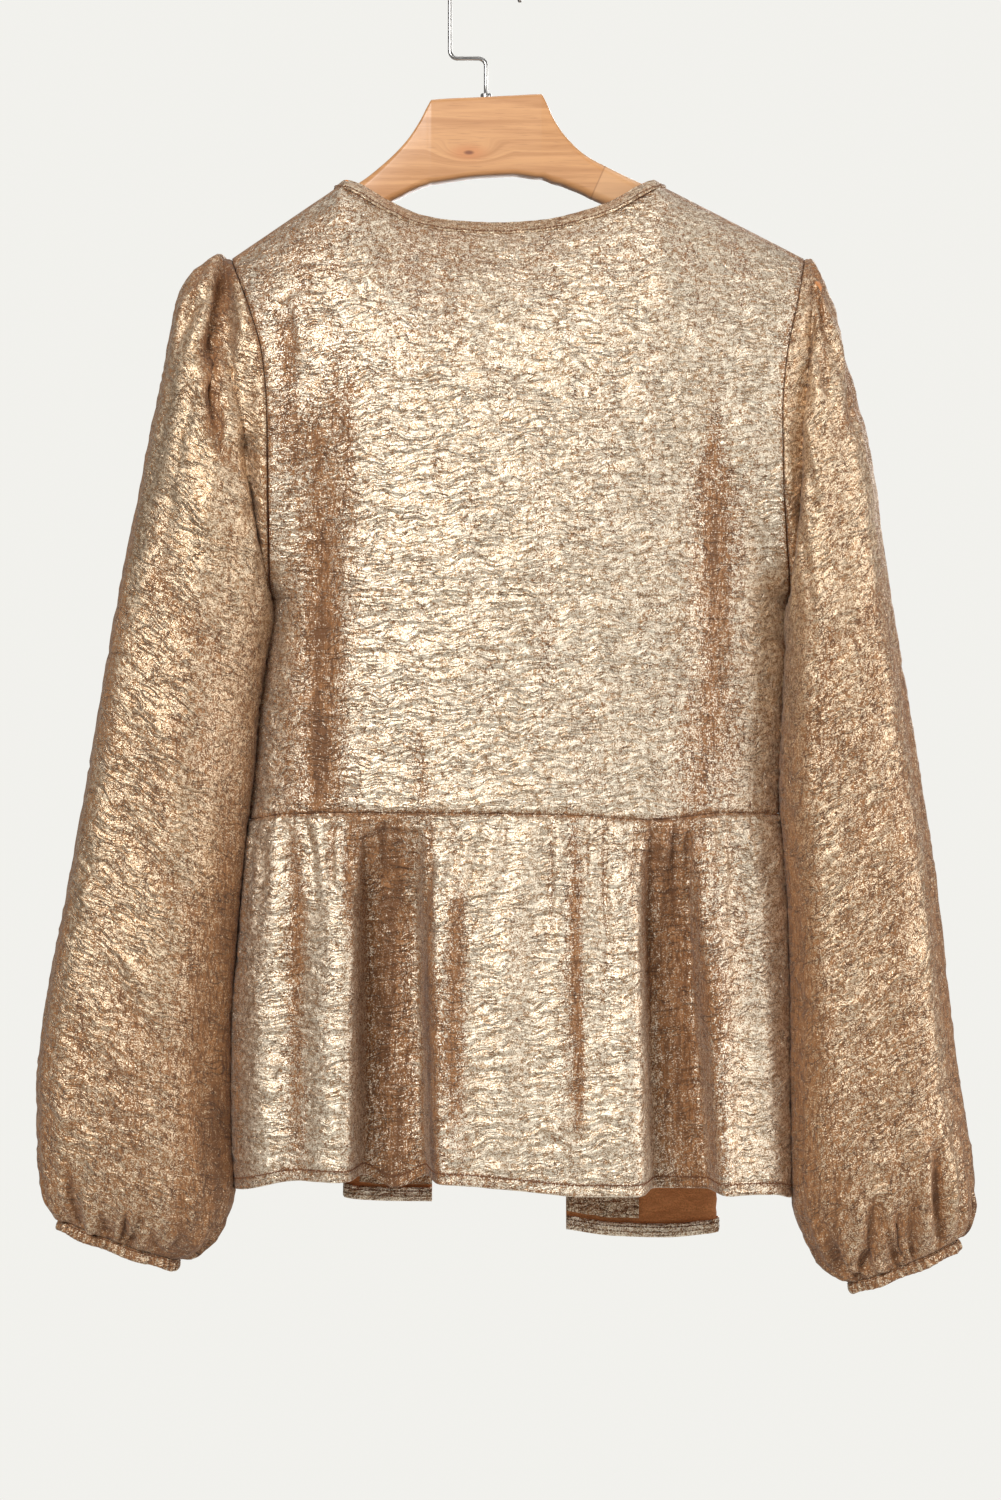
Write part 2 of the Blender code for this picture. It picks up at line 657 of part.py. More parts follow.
def neckband(panels, group):
    """The binding: a closed strip round the neckline, made from the panels' points moved out."""
    back, left, right = (panels[name] for name in ("bodice_back", "bodice_front_left", "bodice_front_right"))
    left_neck, right_neck = SHOULDER_COLUMNS[0], back.shape[1] - 1 - SHOULDER_COLUMNS[1]
    middle = (left_neck + right_neck) // 2
    runs = (
        band_strip(back[:, : middle + 1], -1, left_neck, -1),
        band_strip(back[:, middle:], -1, right_neck - middle, 1),
        band_strip(right, 1, right.shape[1] - 1 - SHOULDER_COLUMNS[1], 1),
        band_strip(left, 1, left_neck, -1),
    )
    rows = []
    for row in range(2):
        back_left, back_right, front_right, front_left = (run[row] for run in runs)
        left_seam = (back_left[:1] + front_left[:1]) / 2
        right_seam = (back_right[:1] + front_right[:1]) / 2
        bottom = (front_right[-1:] + front_left[-1:]) / 2
        rows.append(np.concatenate([
            left_seam, back_left[1:], back_right[1:-1][::-1], right_seam,
            front_right[1:-1], bottom, front_left[1:-1][::-1],
        ]))
    wall("neckband", np.array(rows), "cloth_trim", group, thick=TRIM, closed=True)


def rounded_section(top, height, thick, edge):
    """The outline of the wood across its length: a rectangle with round edges, as offsets y and down."""
    edge = min(edge, thick / 2, height / 2)
    outline = []
    for y_sign, down_sign, start in ((1, -1, 0), (1, 1, 1), (-1, 1, 2), (-1, -1, 3)):
        for k in range(3):
            angle = (start + k / 2) * math.pi / 2
            y = y_sign * (thick / 2 - edge) + edge * math.sin(angle)
            down = top + height / 2 + down_sign * (height / 2 - edge) - edge * math.cos(angle)
            outline.append((y, down))
    return outline


def hanger_body(group, cutters):
    """The wood, lofted through its sections, with a blind hole for the hook."""
    built = bmesh.new()
    rings = []
    for x, top, height, thick, edge in zip(*HANGER.values()):
        top = top if top else float(shoulder_down(x)) + HANGER_SEAT
        outline = rounded_section(top, height, thick, edge)
        rings.append([built.verts.new((x * MM, y * MM, -down * MM)) for y, down in outline])
    for ring, after in zip(rings, rings[1:]):
        for k in range(len(ring)):
            m = (k + 1) % len(ring)
            built.faces.new((ring[k], ring[m], after[m], after[k]))
    built.faces.new(rings[0])
    built.faces.new(rings[-1])
    bmesh.ops.remove_doubles(built, verts=built.verts, dist=1e-6)
    bmesh.ops.recalc_face_normals(built, faces=built.faces)
    mesh = bpy.data.meshes.new("hanger_body")
    built.to_mesh(mesh)
    built.free()
    wood = add("hanger_body", mesh, "wood", group)
    mesh.shade_smooth()
    mesh.set_sharp_from_angle(angle=math.radians(50))

    bpy.ops.mesh.primitive_cylinder_add(
        vertices=16,
        radius=(WIRE_RADIUS + SEAM_GAP + 0.05) * MM,
        depth=2 * BORE_DEPTH * MM,
        location=(STEM_X * MM, 0, -WOOD_TOP_DOWN * MM),
    )
    bore = bpy.context.active_object
    bore.name = "hook_bore"
    bore.hide_render = True
    bore.display_type = "WIRE"
    for other in list(bore.users_collection):
        other.objects.unlink(bore)
    cutters.objects.link(bore)
    cut = wood.modifiers.new("hook bore", "BOOLEAN")
    cut.operation = "DIFFERENCE"
    cut.object = bore


def arc(centre_x, centre_down, radius, start, end, count):
    """Points on a round bend; angles in degrees, anticlockwise from +X as seen from the back."""
    angles = np.radians(np.linspace(start, end, count))
    return [(centre_x + radius * math.cos(a), centre_down - radius * math.sin(a)) for a in angles]


def hanger_hook(group):
    """The hook's wire: up from the wood, cranked to the left, straight up and round the crook."""
    crook_left = -CROOK_RADIUS
    crook_down = CROOK_RADIUS - WIRE_RADIUS
    route = [(STEM_X, WOOD_TOP_DOWN + BORE_DEPTH - 1), (STEM_X, 90)]
    route += arc(STEM_X - WIRE_BEND, CRANK_DOWN + WIRE_BEND, WIRE_BEND, 0, 90, 5)
    route += arc(crook_left + WIRE_BEND, CRANK_DOWN - WIRE_BEND, WIRE_BEND, 270, 180, 5)
    route += [(crook_left, 45)]
    route += arc(0, crook_down, CROOK_RADIUS, 180, -35, 19)
    curve = bpy.data.curves.new("hanger_hook", "CURVE")
    curve.dimensions = "3D"
    curve.bevel_depth = WIRE_RADIUS * MM
    curve.bevel_resolution = 2
    curve.use_fill_caps = True
    line = curve.splines.new("POLY")
    line.points.add(len(route) - 1)
    for point, (x, down) in zip(line.points, route):
        point.co = (x * MM, 0, -down * MM, 1)
    add("hanger_hook", curve, "steel", group)


def hanger_ferrule(group):
    """The small metal collar round the wire, standing on the wood."""
    inner = WIRE_RADIUS + SEAM_GAP + 0.1
    outer = 3.6
    low = WOOD_TOP_DOWN - SEAM_GAP - 0.05
    high = low - 2.6
    outline = [(outer - 0.5, high), (outer, high + 0.6), (outer, low), (inner, low), (inner, high)]
    mesh = bpy.data.meshes.new("hanger_ferrule")
    points = [(x * MM, 0, -down * MM) for x, down in outline]
    mesh.from_pydata(points, [(k, (k + 1) % len(points)) for k in range(len(points))], [])
    collar = add("hanger_ferrule", mesh, "steel", group)
    collar.location = (STEM_X * MM, 0, 0)
    turned = collar.modifiers.new("turned", "SCREW")
    turned.steps = turned.render_steps = 16
    turned.use_merge_vertices = True
    turned.merge_threshold = 0.00001


def main():
    clear_scene()
    group = collection("babydoll_blouse")
    cutters = collection("cutters")

    centre = float(top_share(CENTRE_X))
    left_neck, right_neck = float(top_share(LEFT_NECK_X)), float(top_share(RIGHT_NECK_X))
    half_gap = FOLD_GAP / (RIGHT_TIP_X - LEFT_TIP_X)
    on_left, on_right = SHOULDER_COLUMNS
    panels = {}
    for name, stops, counts, face, finish in (
        ("bodice_back", (0, left_neck, right_neck, 1), (on_left, 14, on_right), -1, "cloth_back"),
        ("bodice_front_left", (0, left_neck, centre - half_gap), (on_left, 7), 1, "cloth_front"),
        ("bodice_front_right", (centre + half_gap, right_neck, 1), (7, on_right), 1, "cloth_front"),
    ):
        panels[name] = bodice(name, stops, counts, face, finish, group)

    wall("peplum_back", peplum_back_points(), "cloth_peplum", group)
    peplum_front(-1, FRONT_LEFT_FOLDS, group)
    peplum_front(1, FRONT_RIGHT_FOLDS, group)

    for name, side, rows in (("left", -1, SLEEVE_LEFT), ("right", 1, SLEEVE_RIGHT)):
        wall(f"sleeve_{name}", sleeve_rings(rows, side, panels), "cloth_sleeve", group, closed=True)
        wall(f"cuff_{name}", cuff_rings(rows), "cloth_trim", group, closed=True)
    neckband(panels, group)
    hanger_body(group, cutters)
    hanger_hook(group)
    hanger_ferrule(group)


main()
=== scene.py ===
"""The looks of a long-sleeved babydoll blouse with a gathered peplum, on a wooden hanger.

Sizes are in millimetres until a mesh is made. +Z is up, and tables give heights as "down", the distance
below the origin, which is the inside of the hook's crown. The back of the garment faces -Y, and left and
right are those of someone who looks at its back. Every cloth piece is a grid of points: rows run down
it and columns run across it. Creases and wrinkles move the points along the cloth's own normals.
"""

import math

import bpy
import numpy as np
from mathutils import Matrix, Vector


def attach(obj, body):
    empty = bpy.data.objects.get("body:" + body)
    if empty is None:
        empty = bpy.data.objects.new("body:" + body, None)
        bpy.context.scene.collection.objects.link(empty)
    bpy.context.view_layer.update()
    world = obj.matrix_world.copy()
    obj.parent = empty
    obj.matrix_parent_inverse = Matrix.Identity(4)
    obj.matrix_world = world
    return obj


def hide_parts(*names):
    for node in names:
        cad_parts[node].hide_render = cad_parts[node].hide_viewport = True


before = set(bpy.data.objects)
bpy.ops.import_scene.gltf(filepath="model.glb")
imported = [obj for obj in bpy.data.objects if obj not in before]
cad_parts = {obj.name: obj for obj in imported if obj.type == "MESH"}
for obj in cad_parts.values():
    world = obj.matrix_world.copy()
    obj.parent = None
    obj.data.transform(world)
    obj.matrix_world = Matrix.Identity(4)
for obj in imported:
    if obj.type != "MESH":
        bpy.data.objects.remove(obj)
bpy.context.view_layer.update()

MM = 0.001
CLOTH = 0.9  # thickness of the cloth
TRIM = 0.8
FOLD_GAP = 0.4  # half the gap between the front and the back at the side seams
MOST_WEAR_AND_SHADE = 1.4  # the highest value of wear and painted shade: the foil is gone, and above 1 the bare cloth darkens as painted shade
STREAK_FADE = 25.0  # half the length over which a band of a streak table fades in or out
SOFTENING_STEPS = 90

SHOULDER_TIP_DOWN = 205.3
ARMPIT_DOWN = 426.0
LEFT_TIP_X = -166.0
RIGHT_TIP_X = 204.8
LEFT_NECK_X = -93.6
RIGHT_NECK_X = 108.5
NECK_POINT_DOWN = 156.5
CENTRE_X = 8.0
NECK_LEAN = 16.0
FRONT_LEAN = 42.0
SHOULDER_REACH = 110.0
ARMHOLE_DEPTH = 45.0
WAIST_DOWN = 566.0
BACK_DROP = 238.0
WAIST_DEPTH = 52.0
HEM_DEPTH = 66.0
FACING_WIDTH = 50.0
FACING_RISE = 9.0
FACING_START_LIFT = 0.25  # how far the facing stands off the panel at the waist seam
FACING_LIFT = 1.4  # how much further it stands off below
FACING_EDGE_LIFT = 0.86  # how far it stands off at the open edge
CUFF_DEPTH = 19.0
CUFF_GAP = 0.8
CUFF_RINGS = 24
FRONT_CREASE_DROP = 14.0  # a sleeve's creases are lower on the front by this much
GATHERS_BACK = 28
GATHERS_FRONT = 12
CROWDING = 1.35  # above 1 it brings a peplum's rows together under the waist seam
PEPLUM_START = 0.3  # the peplum starts this far below the seam's line
OVAL = 0.85  # below 1 it makes the rings of sleeves and cuffs fuller than an ellipse
HEM_FOLD = 0.95  # radius of the hem's fold
HEM_TURN = 8.0  # the hem is turned inside by this much
HEM_STITCH = 6.2  # height of the stitches above the hem's edge

WIRE_RADIUS = 1.4
CROOK_RADIUS = 24.7
WIRE_BEND = 5.0
STEM_X = -1.3
CRANK_DOWN = 74.5
WOOD_TOP_DOWN = 100.4
HANGER_SEAT = 1.6


def table(text):
    """A dictionary of columns, from lines of text: their names, and then a row of numbers on each line."""
    names, *rows = text.strip().splitlines()
    return dict(zip(names.split(), np.array([row.split() for row in rows], float).T))


BODY = table("""
down left right back front
205.3 -166 204.8 57 55
240 -152.5 197 58 56
275 -142.6 189.5 59 58
310 -139.6 186.6 60 60
350 -139.2 187.5 60 62
390 -139.4 190.5 59 62
426 -140.4 194.2 57 61
460 -143.5 193.2 55 58
500 -149 191.4 53 55
535 -152 189.8 52 53
566 -155 188.6 52 52
""")
BACK_NECKLINE = table("""
x down
-93.6 156.5
-85 160
-64 172.5
-42 181.8
-22 185
7 186.3
36 184.5
63 178.5
80 172.5
102 159.8
108.5 156.5
""")
FRONT_NECKLINE = table("""
share down
0 156.5
0.3 192
0.7 243
1 285
""")
WAIST_SEAM = table("""
share down
0 569
0.07 565
0.25 563.5
0.6 565
0.75 568
0.9 564
1 565
""")

# How the peplum opens between the waist seam and the hem
PEPLUM_ROWS = table("""
share gather fold spread
0 0 0 0
0.012 0 0 0
0.06 1.5 0.14 0.1
0.16 1.5 0.46 0.32
0.32 0.6 0.84 0.62
0.54 0.2 0.96 0.86
0.77 0.1 1 1
1 0 1 1
""")
PEPLUM_SIDES = table("""
down left right
563 -155 188.6
590 -158 192
621 -160.8 194.2
654 -163.5 195.2
686 -166.3 195.8
751 -167.3 196.4
814 -164 197.5
""")
BACK_FOLDS = table("""
waist_x hem_x waist_half hem_half depth sharpness
-62 -60 20 24 50 7
112 124 16 22 38 6
-120 -124 9 14 5 2
-5 -2 9 16 4 2
32 30 8 20 5 2
70 68 8 15 5 2
158 168 8 12 5 2
""")
BACK_HEM = table("""
x down
-164 808
-118 797
-84 796.5
-60 806
-36 796.5
18 801
66 805
102 804.5
146 806.5
185 809
197.5 814
""")
FRONT_LEFT_FOLDS = table("""
waist_share x y down ripple
0 -164 0 808 0
0.06 -158 34 806 1
0.16 -128 62 806 1
0.26 -98 72 808 1
0.32 -76 75 812 0
0.335 -68 71 815 0
0.345 -76 67 818 0
0.355 -88 65 821 0
0.365 -95.5 61 823.5 0
0.375 -88 57 824.5 0
0.42 -62 56 825.5 1
0.474 -37.7 55 825.5 0
""")
FRONT_RIGHT_FOLDS = table("""
waist_share x y down ripple
1 197.5 0 814 0
0.955 191 34 813 1
0.88 170 60 814 1
0.8 147 71 818 1
0.755 130 74 824 0
0.74 122 70 829 0
0.73 130 66 835 0
0.72 143 64 842 0
0.71 153 60 846.5 0
0.7 146 56 847.5 0
0.62 118 57 850 1
0.54 84 57 849 1
0.474 52 54 844 0
""")

# Each ring of a sleeve runs from its inner point, under the arm, to its outer point, over the arm
SLEEVE_LEFT = table("""
outer_x outer_down inner_x inner_down depth gather fold
-172.9 203.5 -142 427.8 34 1.3 0
-182.7 206.7 -139.6 431 44 2.8 0
-193 216.5 -139.6 437 50 2.8 0
-200.2 231 -140.2 445 52 2 0
-209 275 -143.8 462 53 1 0.5
-220.4 329 -146.6 482 52 0.5 1
-229 378 -149.5 506 52 0.3 1.5
-242.5 446 -152.4 540 51 0.2 2
-257 530 -157.8 588 50 0.2 2.5
-271 608 -162.6 642 49 0.2 2.5
-285 681 -166.7 706 48 0.3 2.5
-292 740 -167 765 47 0.6 2.5
-291.8 783 -165.2 810 43 1.3 2
-289 808 -174.5 836 36 2.3 1
-284 821 -187 850 26 2.2 0
-278.3 827.5 -199.5 855.5 19 1.1 0
""")
SLEEVE_RIGHT = table("""
outer_x outer_down inner_x inner_down depth gather fold
209.8 204.6 196.8 427.8 34 1.3 0
213.8 211 194.2 431 43 2.4 0
218.6 228 192.8 437 48 2.4 0
226.5 255 192.4 445 50 1.8 0
238 292 193.2 462 51 1 0.5
247.5 335 192.2 482 51 0.5 1
254 382 191 508 50 0.3 1.5
264 446 189.4 545 50 0.2 2
277.5 528 192 592 50 0.2 2.5
290 608 195 645 49 0.2 2.5
297.7 680 196.1 708 48 0.3 2.5
306.5 748 196.6 768 46 0.6 2.5
314 792 198.2 815 42 1.3 2
315 818 207 843 35 2.3 1
311 832.5 218 860 26 2.2 0
305.3 840.8 233 870.2 19 1.1 0
""")
SEAM_CLEAR = table("""
share out
0 0.45
0.5 0.5
0.7 0.85
0.85 1.1
1 1.15
""")

# Sections of the wood; a top of 0 follows the shoulder seam
HANGER = table("""
x top height thickness edge
-158 0 8 9 4
-155.5 0 14 12.5 6
-148 0 19 15 7.4
-125 0 23 15 7.4
-100 0 25 15 7.4
-85.8 156.7 26.5 15 7
-67 143 27.5 15 5
-52.7 128.7 34 15 4
-43.6 115 43.5 15 4
-39 106 51 15 4
-36.4 102.4 53.6 15 3
-3.3 100.6 51 15 3
16.3 99.6 51.2 15 3
34.5 98.8 54 15 3
37 102 51.5 15 4
41.6 112.5 43 15 4
49.4 124.8 33 15 4
63 137.8 26 15 5
77.4 145.6 25 15 6
102.7 157.3 24.5 15 7.2
125 0 24 15 7.4
155 0 22 15 7.4
180 0 19 15 7.4
187.5 0 14 12.5 6
190 0 8 9 4
""")


def smooth(at, known, values):
    """A curve through the table's points that never swings past them: a cubic whose slope at each point is
    the harmonic mean of the slopes on its two sides. The values may be arrays, such as rings of points."""
    known, values = np.asarray(known, float), np.asarray(values, float)
    spread = (slice(None),) + (None,) * (values.ndim - 1)
    step = np.diff(known)
    rise = np.diff(values, axis=0) / step[spread]
    product = rise[:-1] * rise[1:]
    same = product > 0
    slope = np.zeros_like(values)
    slope[1:-1][same] = 2 * product[same] / (rise[:-1] + rise[1:])[same]
    slope[0], slope[-1] = rise[0], rise[-1]
    at = np.clip(at, known[0], known[-1])
    k = np.clip(np.searchsorted(known, at, side="right") - 1, 0, len(known) - 2)
    t, width = ((at - known[k]) / step[k]), step[k]
    if values.ndim > 1:
        t, width = t[spread], width[spread]
    ends = values[k] * (1 + 2 * t) * (1 - t) ** 2 + values[k + 1] * t * t * (3 - 2 * t)
    return ends + width * t * (1 - t) * (slope[k] * (1 - t) - slope[k + 1] * t)


def read(columns, key, value, at):
    """One column of a table as a curve over another column, at the given places."""
    return smooth(np.asarray(at, float), columns[key], columns[value])


def stack(x, y, down):
    """An array of points from arrays of places."""
    return np.stack(np.broadcast_arrays(x, y, -down), axis=-1)


def shoulder_down(x):
    """Height of the shoulder seams, straight from each neck point to each tip."""
    x = np.asarray(x, float)
    left = (LEFT_NECK_X - x) / (LEFT_NECK_X - LEFT_TIP_X)
    right = (x - RIGHT_NECK_X) / (RIGHT_TIP_X - RIGHT_NECK_X)
    share = np.maximum(np.maximum(left, right), 0)
    return NECK_POINT_DOWN + share * (SHOULDER_TIP_DOWN - NECK_POINT_DOWN)


def top_x(share):
    """The place at a share of the way from the left shoulder tip to the right one."""
    return LEFT_TIP_X + share * (RIGHT_TIP_X - LEFT_TIP_X)


def top_share(x):
    """The share of the way from the left shoulder tip to the right one at a place."""
    return (x - LEFT_TIP_X) / (RIGHT_TIP_X - LEFT_TIP_X)


def towards_centre(x):
    """How far a place is from its neck point, at 0, to the centre front, at 1."""
    half = np.where(x < CENTRE_X, CENTRE_X - LEFT_NECK_X, RIGHT_NECK_X - CENTRE_X)
    return 1 - np.abs(x - CENTRE_X) / half


def top_down(share, face):
    """Height of a bodice's top edge, which is its shoulder seams and its neckline."""
    x = top_x(share)
    inside = (x > LEFT_NECK_X) & (x < RIGHT_NECK_X)
    if face < 0:
        neck = read(BACK_NECKLINE, "x", "down", x)
    else:
        neck = read(FRONT_NECKLINE, "share", "down", towards_centre(x))
    return np.where(inside, neck, shoulder_down(x))


def body(share, down, face):
    """A point of the bodice. From side to side its depth is an arch. It rounds over the shoulder as the
    root of a sine of the drop, and at the sides it keeps to the egg-shaped armhole."""
    share, down = np.broadcast_arrays(np.asarray(share, float), np.asarray(down, float))
    left, right = (read(BODY, "down", name, down) for name in ("left", "right"))
    x = left + share * (right - left)
    drop = np.maximum(down - top_down(share, face), 0)
    armhole_length = ARMPIT_DOWN - SHOULDER_TIP_DOWN
    level = np.clip((down - SHOULDER_TIP_DOWN) / armhole_length, 0, 1)
    by_level = np.clip(level / 0.4, 0, 1)
    low = np.clip(drop / armhole_length, 0, 1) * (1 - by_level) + level * by_level
    armhole = ARMHOLE_DEPTH * (1 - np.abs(2 * low - 1) ** 2.2) ** 0.6
    if face < 0:
        across = (top_x(share) - LEFT_NECK_X) / (RIGHT_NECK_X - LEFT_NECK_X)
        inside = np.clip(across, 0, 1)
        lean = NECK_LEAN * np.sqrt(1 - np.abs(2 * inside - 1) ** 10)
        rounding = 0.5 + 0.3 * np.sin(math.pi * inside) ** 2
    else:
        inside = np.clip(towards_centre(top_x(share)), 0, 1)
        lean = NECK_LEAN * np.sqrt(1 - (1 - inside) ** 16) + (FRONT_LEAN - NECK_LEAN) * inside
        rounding = 0.5 + 0.3 * inside
    fall = np.sin(math.pi / 2 * np.clip(drop / SHOULDER_REACH, 0, 1)) ** rounding
    depth = read(BODY, "down", "back" if face < 0 else "front", down)
    full = lean + (depth - lean) * fall
    below = np.clip((low - 0.5) / 0.5, 0, 1)
    side = np.abs(2 * share - 1)
    arch = (1 - side ** (4 - 1.4 * below)) ** (1 - 0.45 * below)
    y = armhole * side ** (4 + 14 * below) + full * arch
    return stack(x, face * (FOLD_GAP + y), down)


def ease(value, low, high):
    """Nought below low, one above high, and a smooth step between."""
    t = np.clip((value - low) / (high - low), 0, 1)
    return t * t * (3 - 2 * t)


def between(share, width):
    """Nought at both ends of a share from 0 to 1, and one further in than the width."""
    return ease(share, 0, width) * ease(1 - share, 0, width)


def noise(x, y, z, seed):
    """Smooth random numbers from -1 to 1: a random value at each corner of unit cubes, and a cubic blend
    of the eight corners inside."""
    corners = np.random.default_rng(seed).uniform(-1, 1, (32, 32, 32))
    cells, blends = [], []
    for along in np.broadcast_arrays(x, y, z):
        whole = np.floor(along)
        cells.append(whole.astype(int))
        blends.append(ease(along - whole, 0, 1))
    total = 0.0
    for corner in np.ndindex(2, 2, 2):
        weight = 1.0
        for blend, far in zip(blends, corner):
            weight = weight * (blend if far else 1 - blend)
        place = tuple((cell + far) % 32 for cell, far in zip(cells, corner))
        total = total + weight * corners[place]
    return total


def unit(vectors):
    """Vectors of the same directions and a length of one."""
    return vectors / np.maximum(np.linalg.norm(vectors, axis=-1, keepdims=True), 1e-9)


def circle(count):
    """Angles at even steps round a whole turn."""
    return 2 * math.pi * np.arange(count) / count


def run_of(line):
    """The distance along a line of points from its start to each point."""
    return np.concatenate([[0], np.cumsum(np.linalg.norm(np.diff(line, axis=0), axis=1))])


def spokes(first, second, sides):
    """Vectors from the middle of a circle to points round it, from two that are square to each other."""
    angle = circle(sides)[:, None]
    return first[:, None] * np.cos(angle) + second[:, None] * np.sin(angle)


def normals(points, out, closed=False):
    """Unit normals of a grid: the step down crossed with the step across, times out, which is 1 or -1."""
    if closed:
        across = np.roll(points, -1, axis=1) - np.roll(points, 1, axis=1)
    else:
        across = np.gradient(points, axis=1)
    return unit(np.cross(np.gradient(points, axis=0), across)) * out


def creases(points, rows, face):
    """Height of creases on the side of the cloth that faces -Y or +Y. Each is a ridge, or a trough if its
    height is negative, whose section is a bell curve. It runs along a line from its first end to its
    second, bent sideways in the middle, and fades out at both ends."""
    x, down = points[..., 0], -points[..., 2]
    total = np.zeros(x.shape)
    for x0, down0, x1, down1, bend, width, height in zip(*rows.values()):
        length = math.hypot(x1 - x0, down1 - down0)
        ux, ud = (x1 - x0) / length, (down1 - down0) / length
        along = ((x - x0) * ux + (down - down0) * ud) / length
        inside = np.clip(4 * along * (1 - along), 0, 1)
        off = (down - down0) * ux - (x - x0) * ud - bend * inside
        total += height * inside**0.8 * np.exp(-np.abs(off / width) ** 1.7)
    return total * ease(face * points[..., 1], -4, 6)


def wrinkles(points, tilt, width, length, seed):
    """Height of small crepe wrinkles from -1 to 1: noise that is short across them and long along them,
    folded at nought so that it makes sharp ridges, and turned by tilt degrees about the Y axis."""
    turn = math.radians(tilt)
    x, y, z = points[..., 0], points[..., 1], points[..., 2]
    along = x * math.cos(turn) + z * math.sin(turn)
    across = z * math.cos(turn) - x * math.sin(turn)
    across = across + 0.55 * width * noise(along / length, y / length, across / (3 * width), seed + 1)
    fine = noise(along / length, y / length, across / width, seed)
    return 1 - 2 * np.sqrt(fine * fine + 0.006)


def streaks(points, rows):
    """The value of wear and painted shade, from 0 to MOST_WEAR_AND_SHADE: vertical bands with soft ends,
    broken up by noise that is drawn out downwards. Most bands are worn streaks; where a table puts one in a
    deep fold it is painted shade."""
    x, y, down = points[..., 0], points[..., 1], -points[..., 2]
    total = np.zeros(x.shape)
    for centre, lean, top, bottom, half, strength in zip(*rows.values()):
        middle = centre + lean * (down - top) / (bottom - top)
        starts = ease(down, top - STREAK_FADE, top + STREAK_FADE)
        ends = ease(down, bottom - STREAK_FADE, bottom + STREAK_FADE)
        total += strength * starts * (1 - ends) * np.exp(-np.abs((x - middle) / half) ** 2.2)
    uneven = noise(x / 3.2, y / 9, down / 48, 7) + 0.7 * noise(x / 9, y / 9, down / 30, 8)
    return np.clip(total * (0.9 + 0.35 * uneven), 0, MOST_WEAR_AND_SHADE)


def crease_wear_and_shade(height):
    """Darkening in the troughs of creases, in proportion to how deep they are: partly foil rubbed off, partly
    painted shade.
    """
    return 0.2 * np.clip(-height - 0.3, 0, 5)


def mesh_of(name, points, faces, finishes):
    """An object at the origin with a smooth-shaded mesh of these points, which are in millimetres."""
    mesh = bpy.data.meshes.new(name)
    mesh.from_pydata((points.reshape(-1, 3) * MM).tolist(), [], [list(face) for face in faces])
    mesh.polygons.foreach_set("use_smooth", np.ones(len(faces), bool))
    for finish in finishes:
        mesh.materials.append(finish)
    return linked(bpy.data.objects.new(name, mesh))


def linked(made):
    """Puts an object in the scene."""
    bpy.context.scene.collection.objects.link(made)
    return made


def placed(made, slot, *nodes):
    """Tells the frame which body a piece rides on, and hides the nodes that it replaces; the slot is not
    used.
    """
    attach(made, "root")
    if nodes:
        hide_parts(*nodes)


def grid_faces(rows, columns, closed, out):
    """Quads of a grid, whose normals point the way that normals() gives."""
    row, column = np.mgrid[0 : rows - 1, 0 : columns if closed else columns - 1]
    after = (column + 1) % columns
    corners = ((row, column), (row + 1, column), (row + 1, after), (row, after))
    faces = np.stack([r * columns + c for r, c in corners], axis=-1).reshape(-1, 4)
    return faces if out > 0 else faces[:, ::-1]


def capped(rings, sides, out):
    """Faces of a closed tube, with one face over each end."""
    ends = range(sides), range(rings * sides - 1, (rings - 1) * sides - 1, -1)
    return grid_faces(rings, sides, True, out).tolist() + [list(end)[::out] for end in ends]


def cloth(name, points, finishes, out, wear_and_shade, closed=False, thick=CLOTH):
    """A cloth piece: the surface through a grid of points, given a thickness. Its outer side has the first
    finish and its inner side the second. Its values of wear and painted shade say where the foil is worn off
    and where shade is painted."""
    made = mesh_of(name, points, grid_faces(*points.shape[:2], closed, out), finishes)
    wear_and_shade_attribute = made.data.attributes.new("wear_and_shade", "FLOAT", "POINT")
    wear_and_shade = np.broadcast_to(np.clip(wear_and_shade, 0, MOST_WEAR_AND_SHADE), points.shape[:2])
    wear_and_shade_attribute.data.foreach_set("value", wear_and_shade.astype(np.float32).ravel())
    wall = made.modifiers.new("cloth thickness", "SOLIDIFY")
    wall.thickness = thick * MM
    wall.offset = 0.0
    wall.material_offset = 1
    return made


def turned_hem(points, out):
    """The same grid with its lower edge turned inside: a half round of radius HEM_FOLD, and then the rows
    above the edge once more, moved in by the width of the fold."""
    side, down = normals(points, out)[-1], unit(np.gradient(points, axis=0))[-1]
    edge = points[-1] - down * HEM_FOLD
    centre = edge - side * HEM_FOLD
    upper = points.copy()
    upper[-1] = edge
    angles = np.linspace(0, math.pi, 7)[1:]
    turn = [centre + HEM_FOLD * (math.cos(a) * side + math.sin(a) * down) for a in angles]
    inner = [centre - HEM_FOLD * side - down * height for height in np.linspace(0, HEM_TURN, 6)[1:]]
    return np.concatenate([upper, np.array(turn), np.array(inner)])


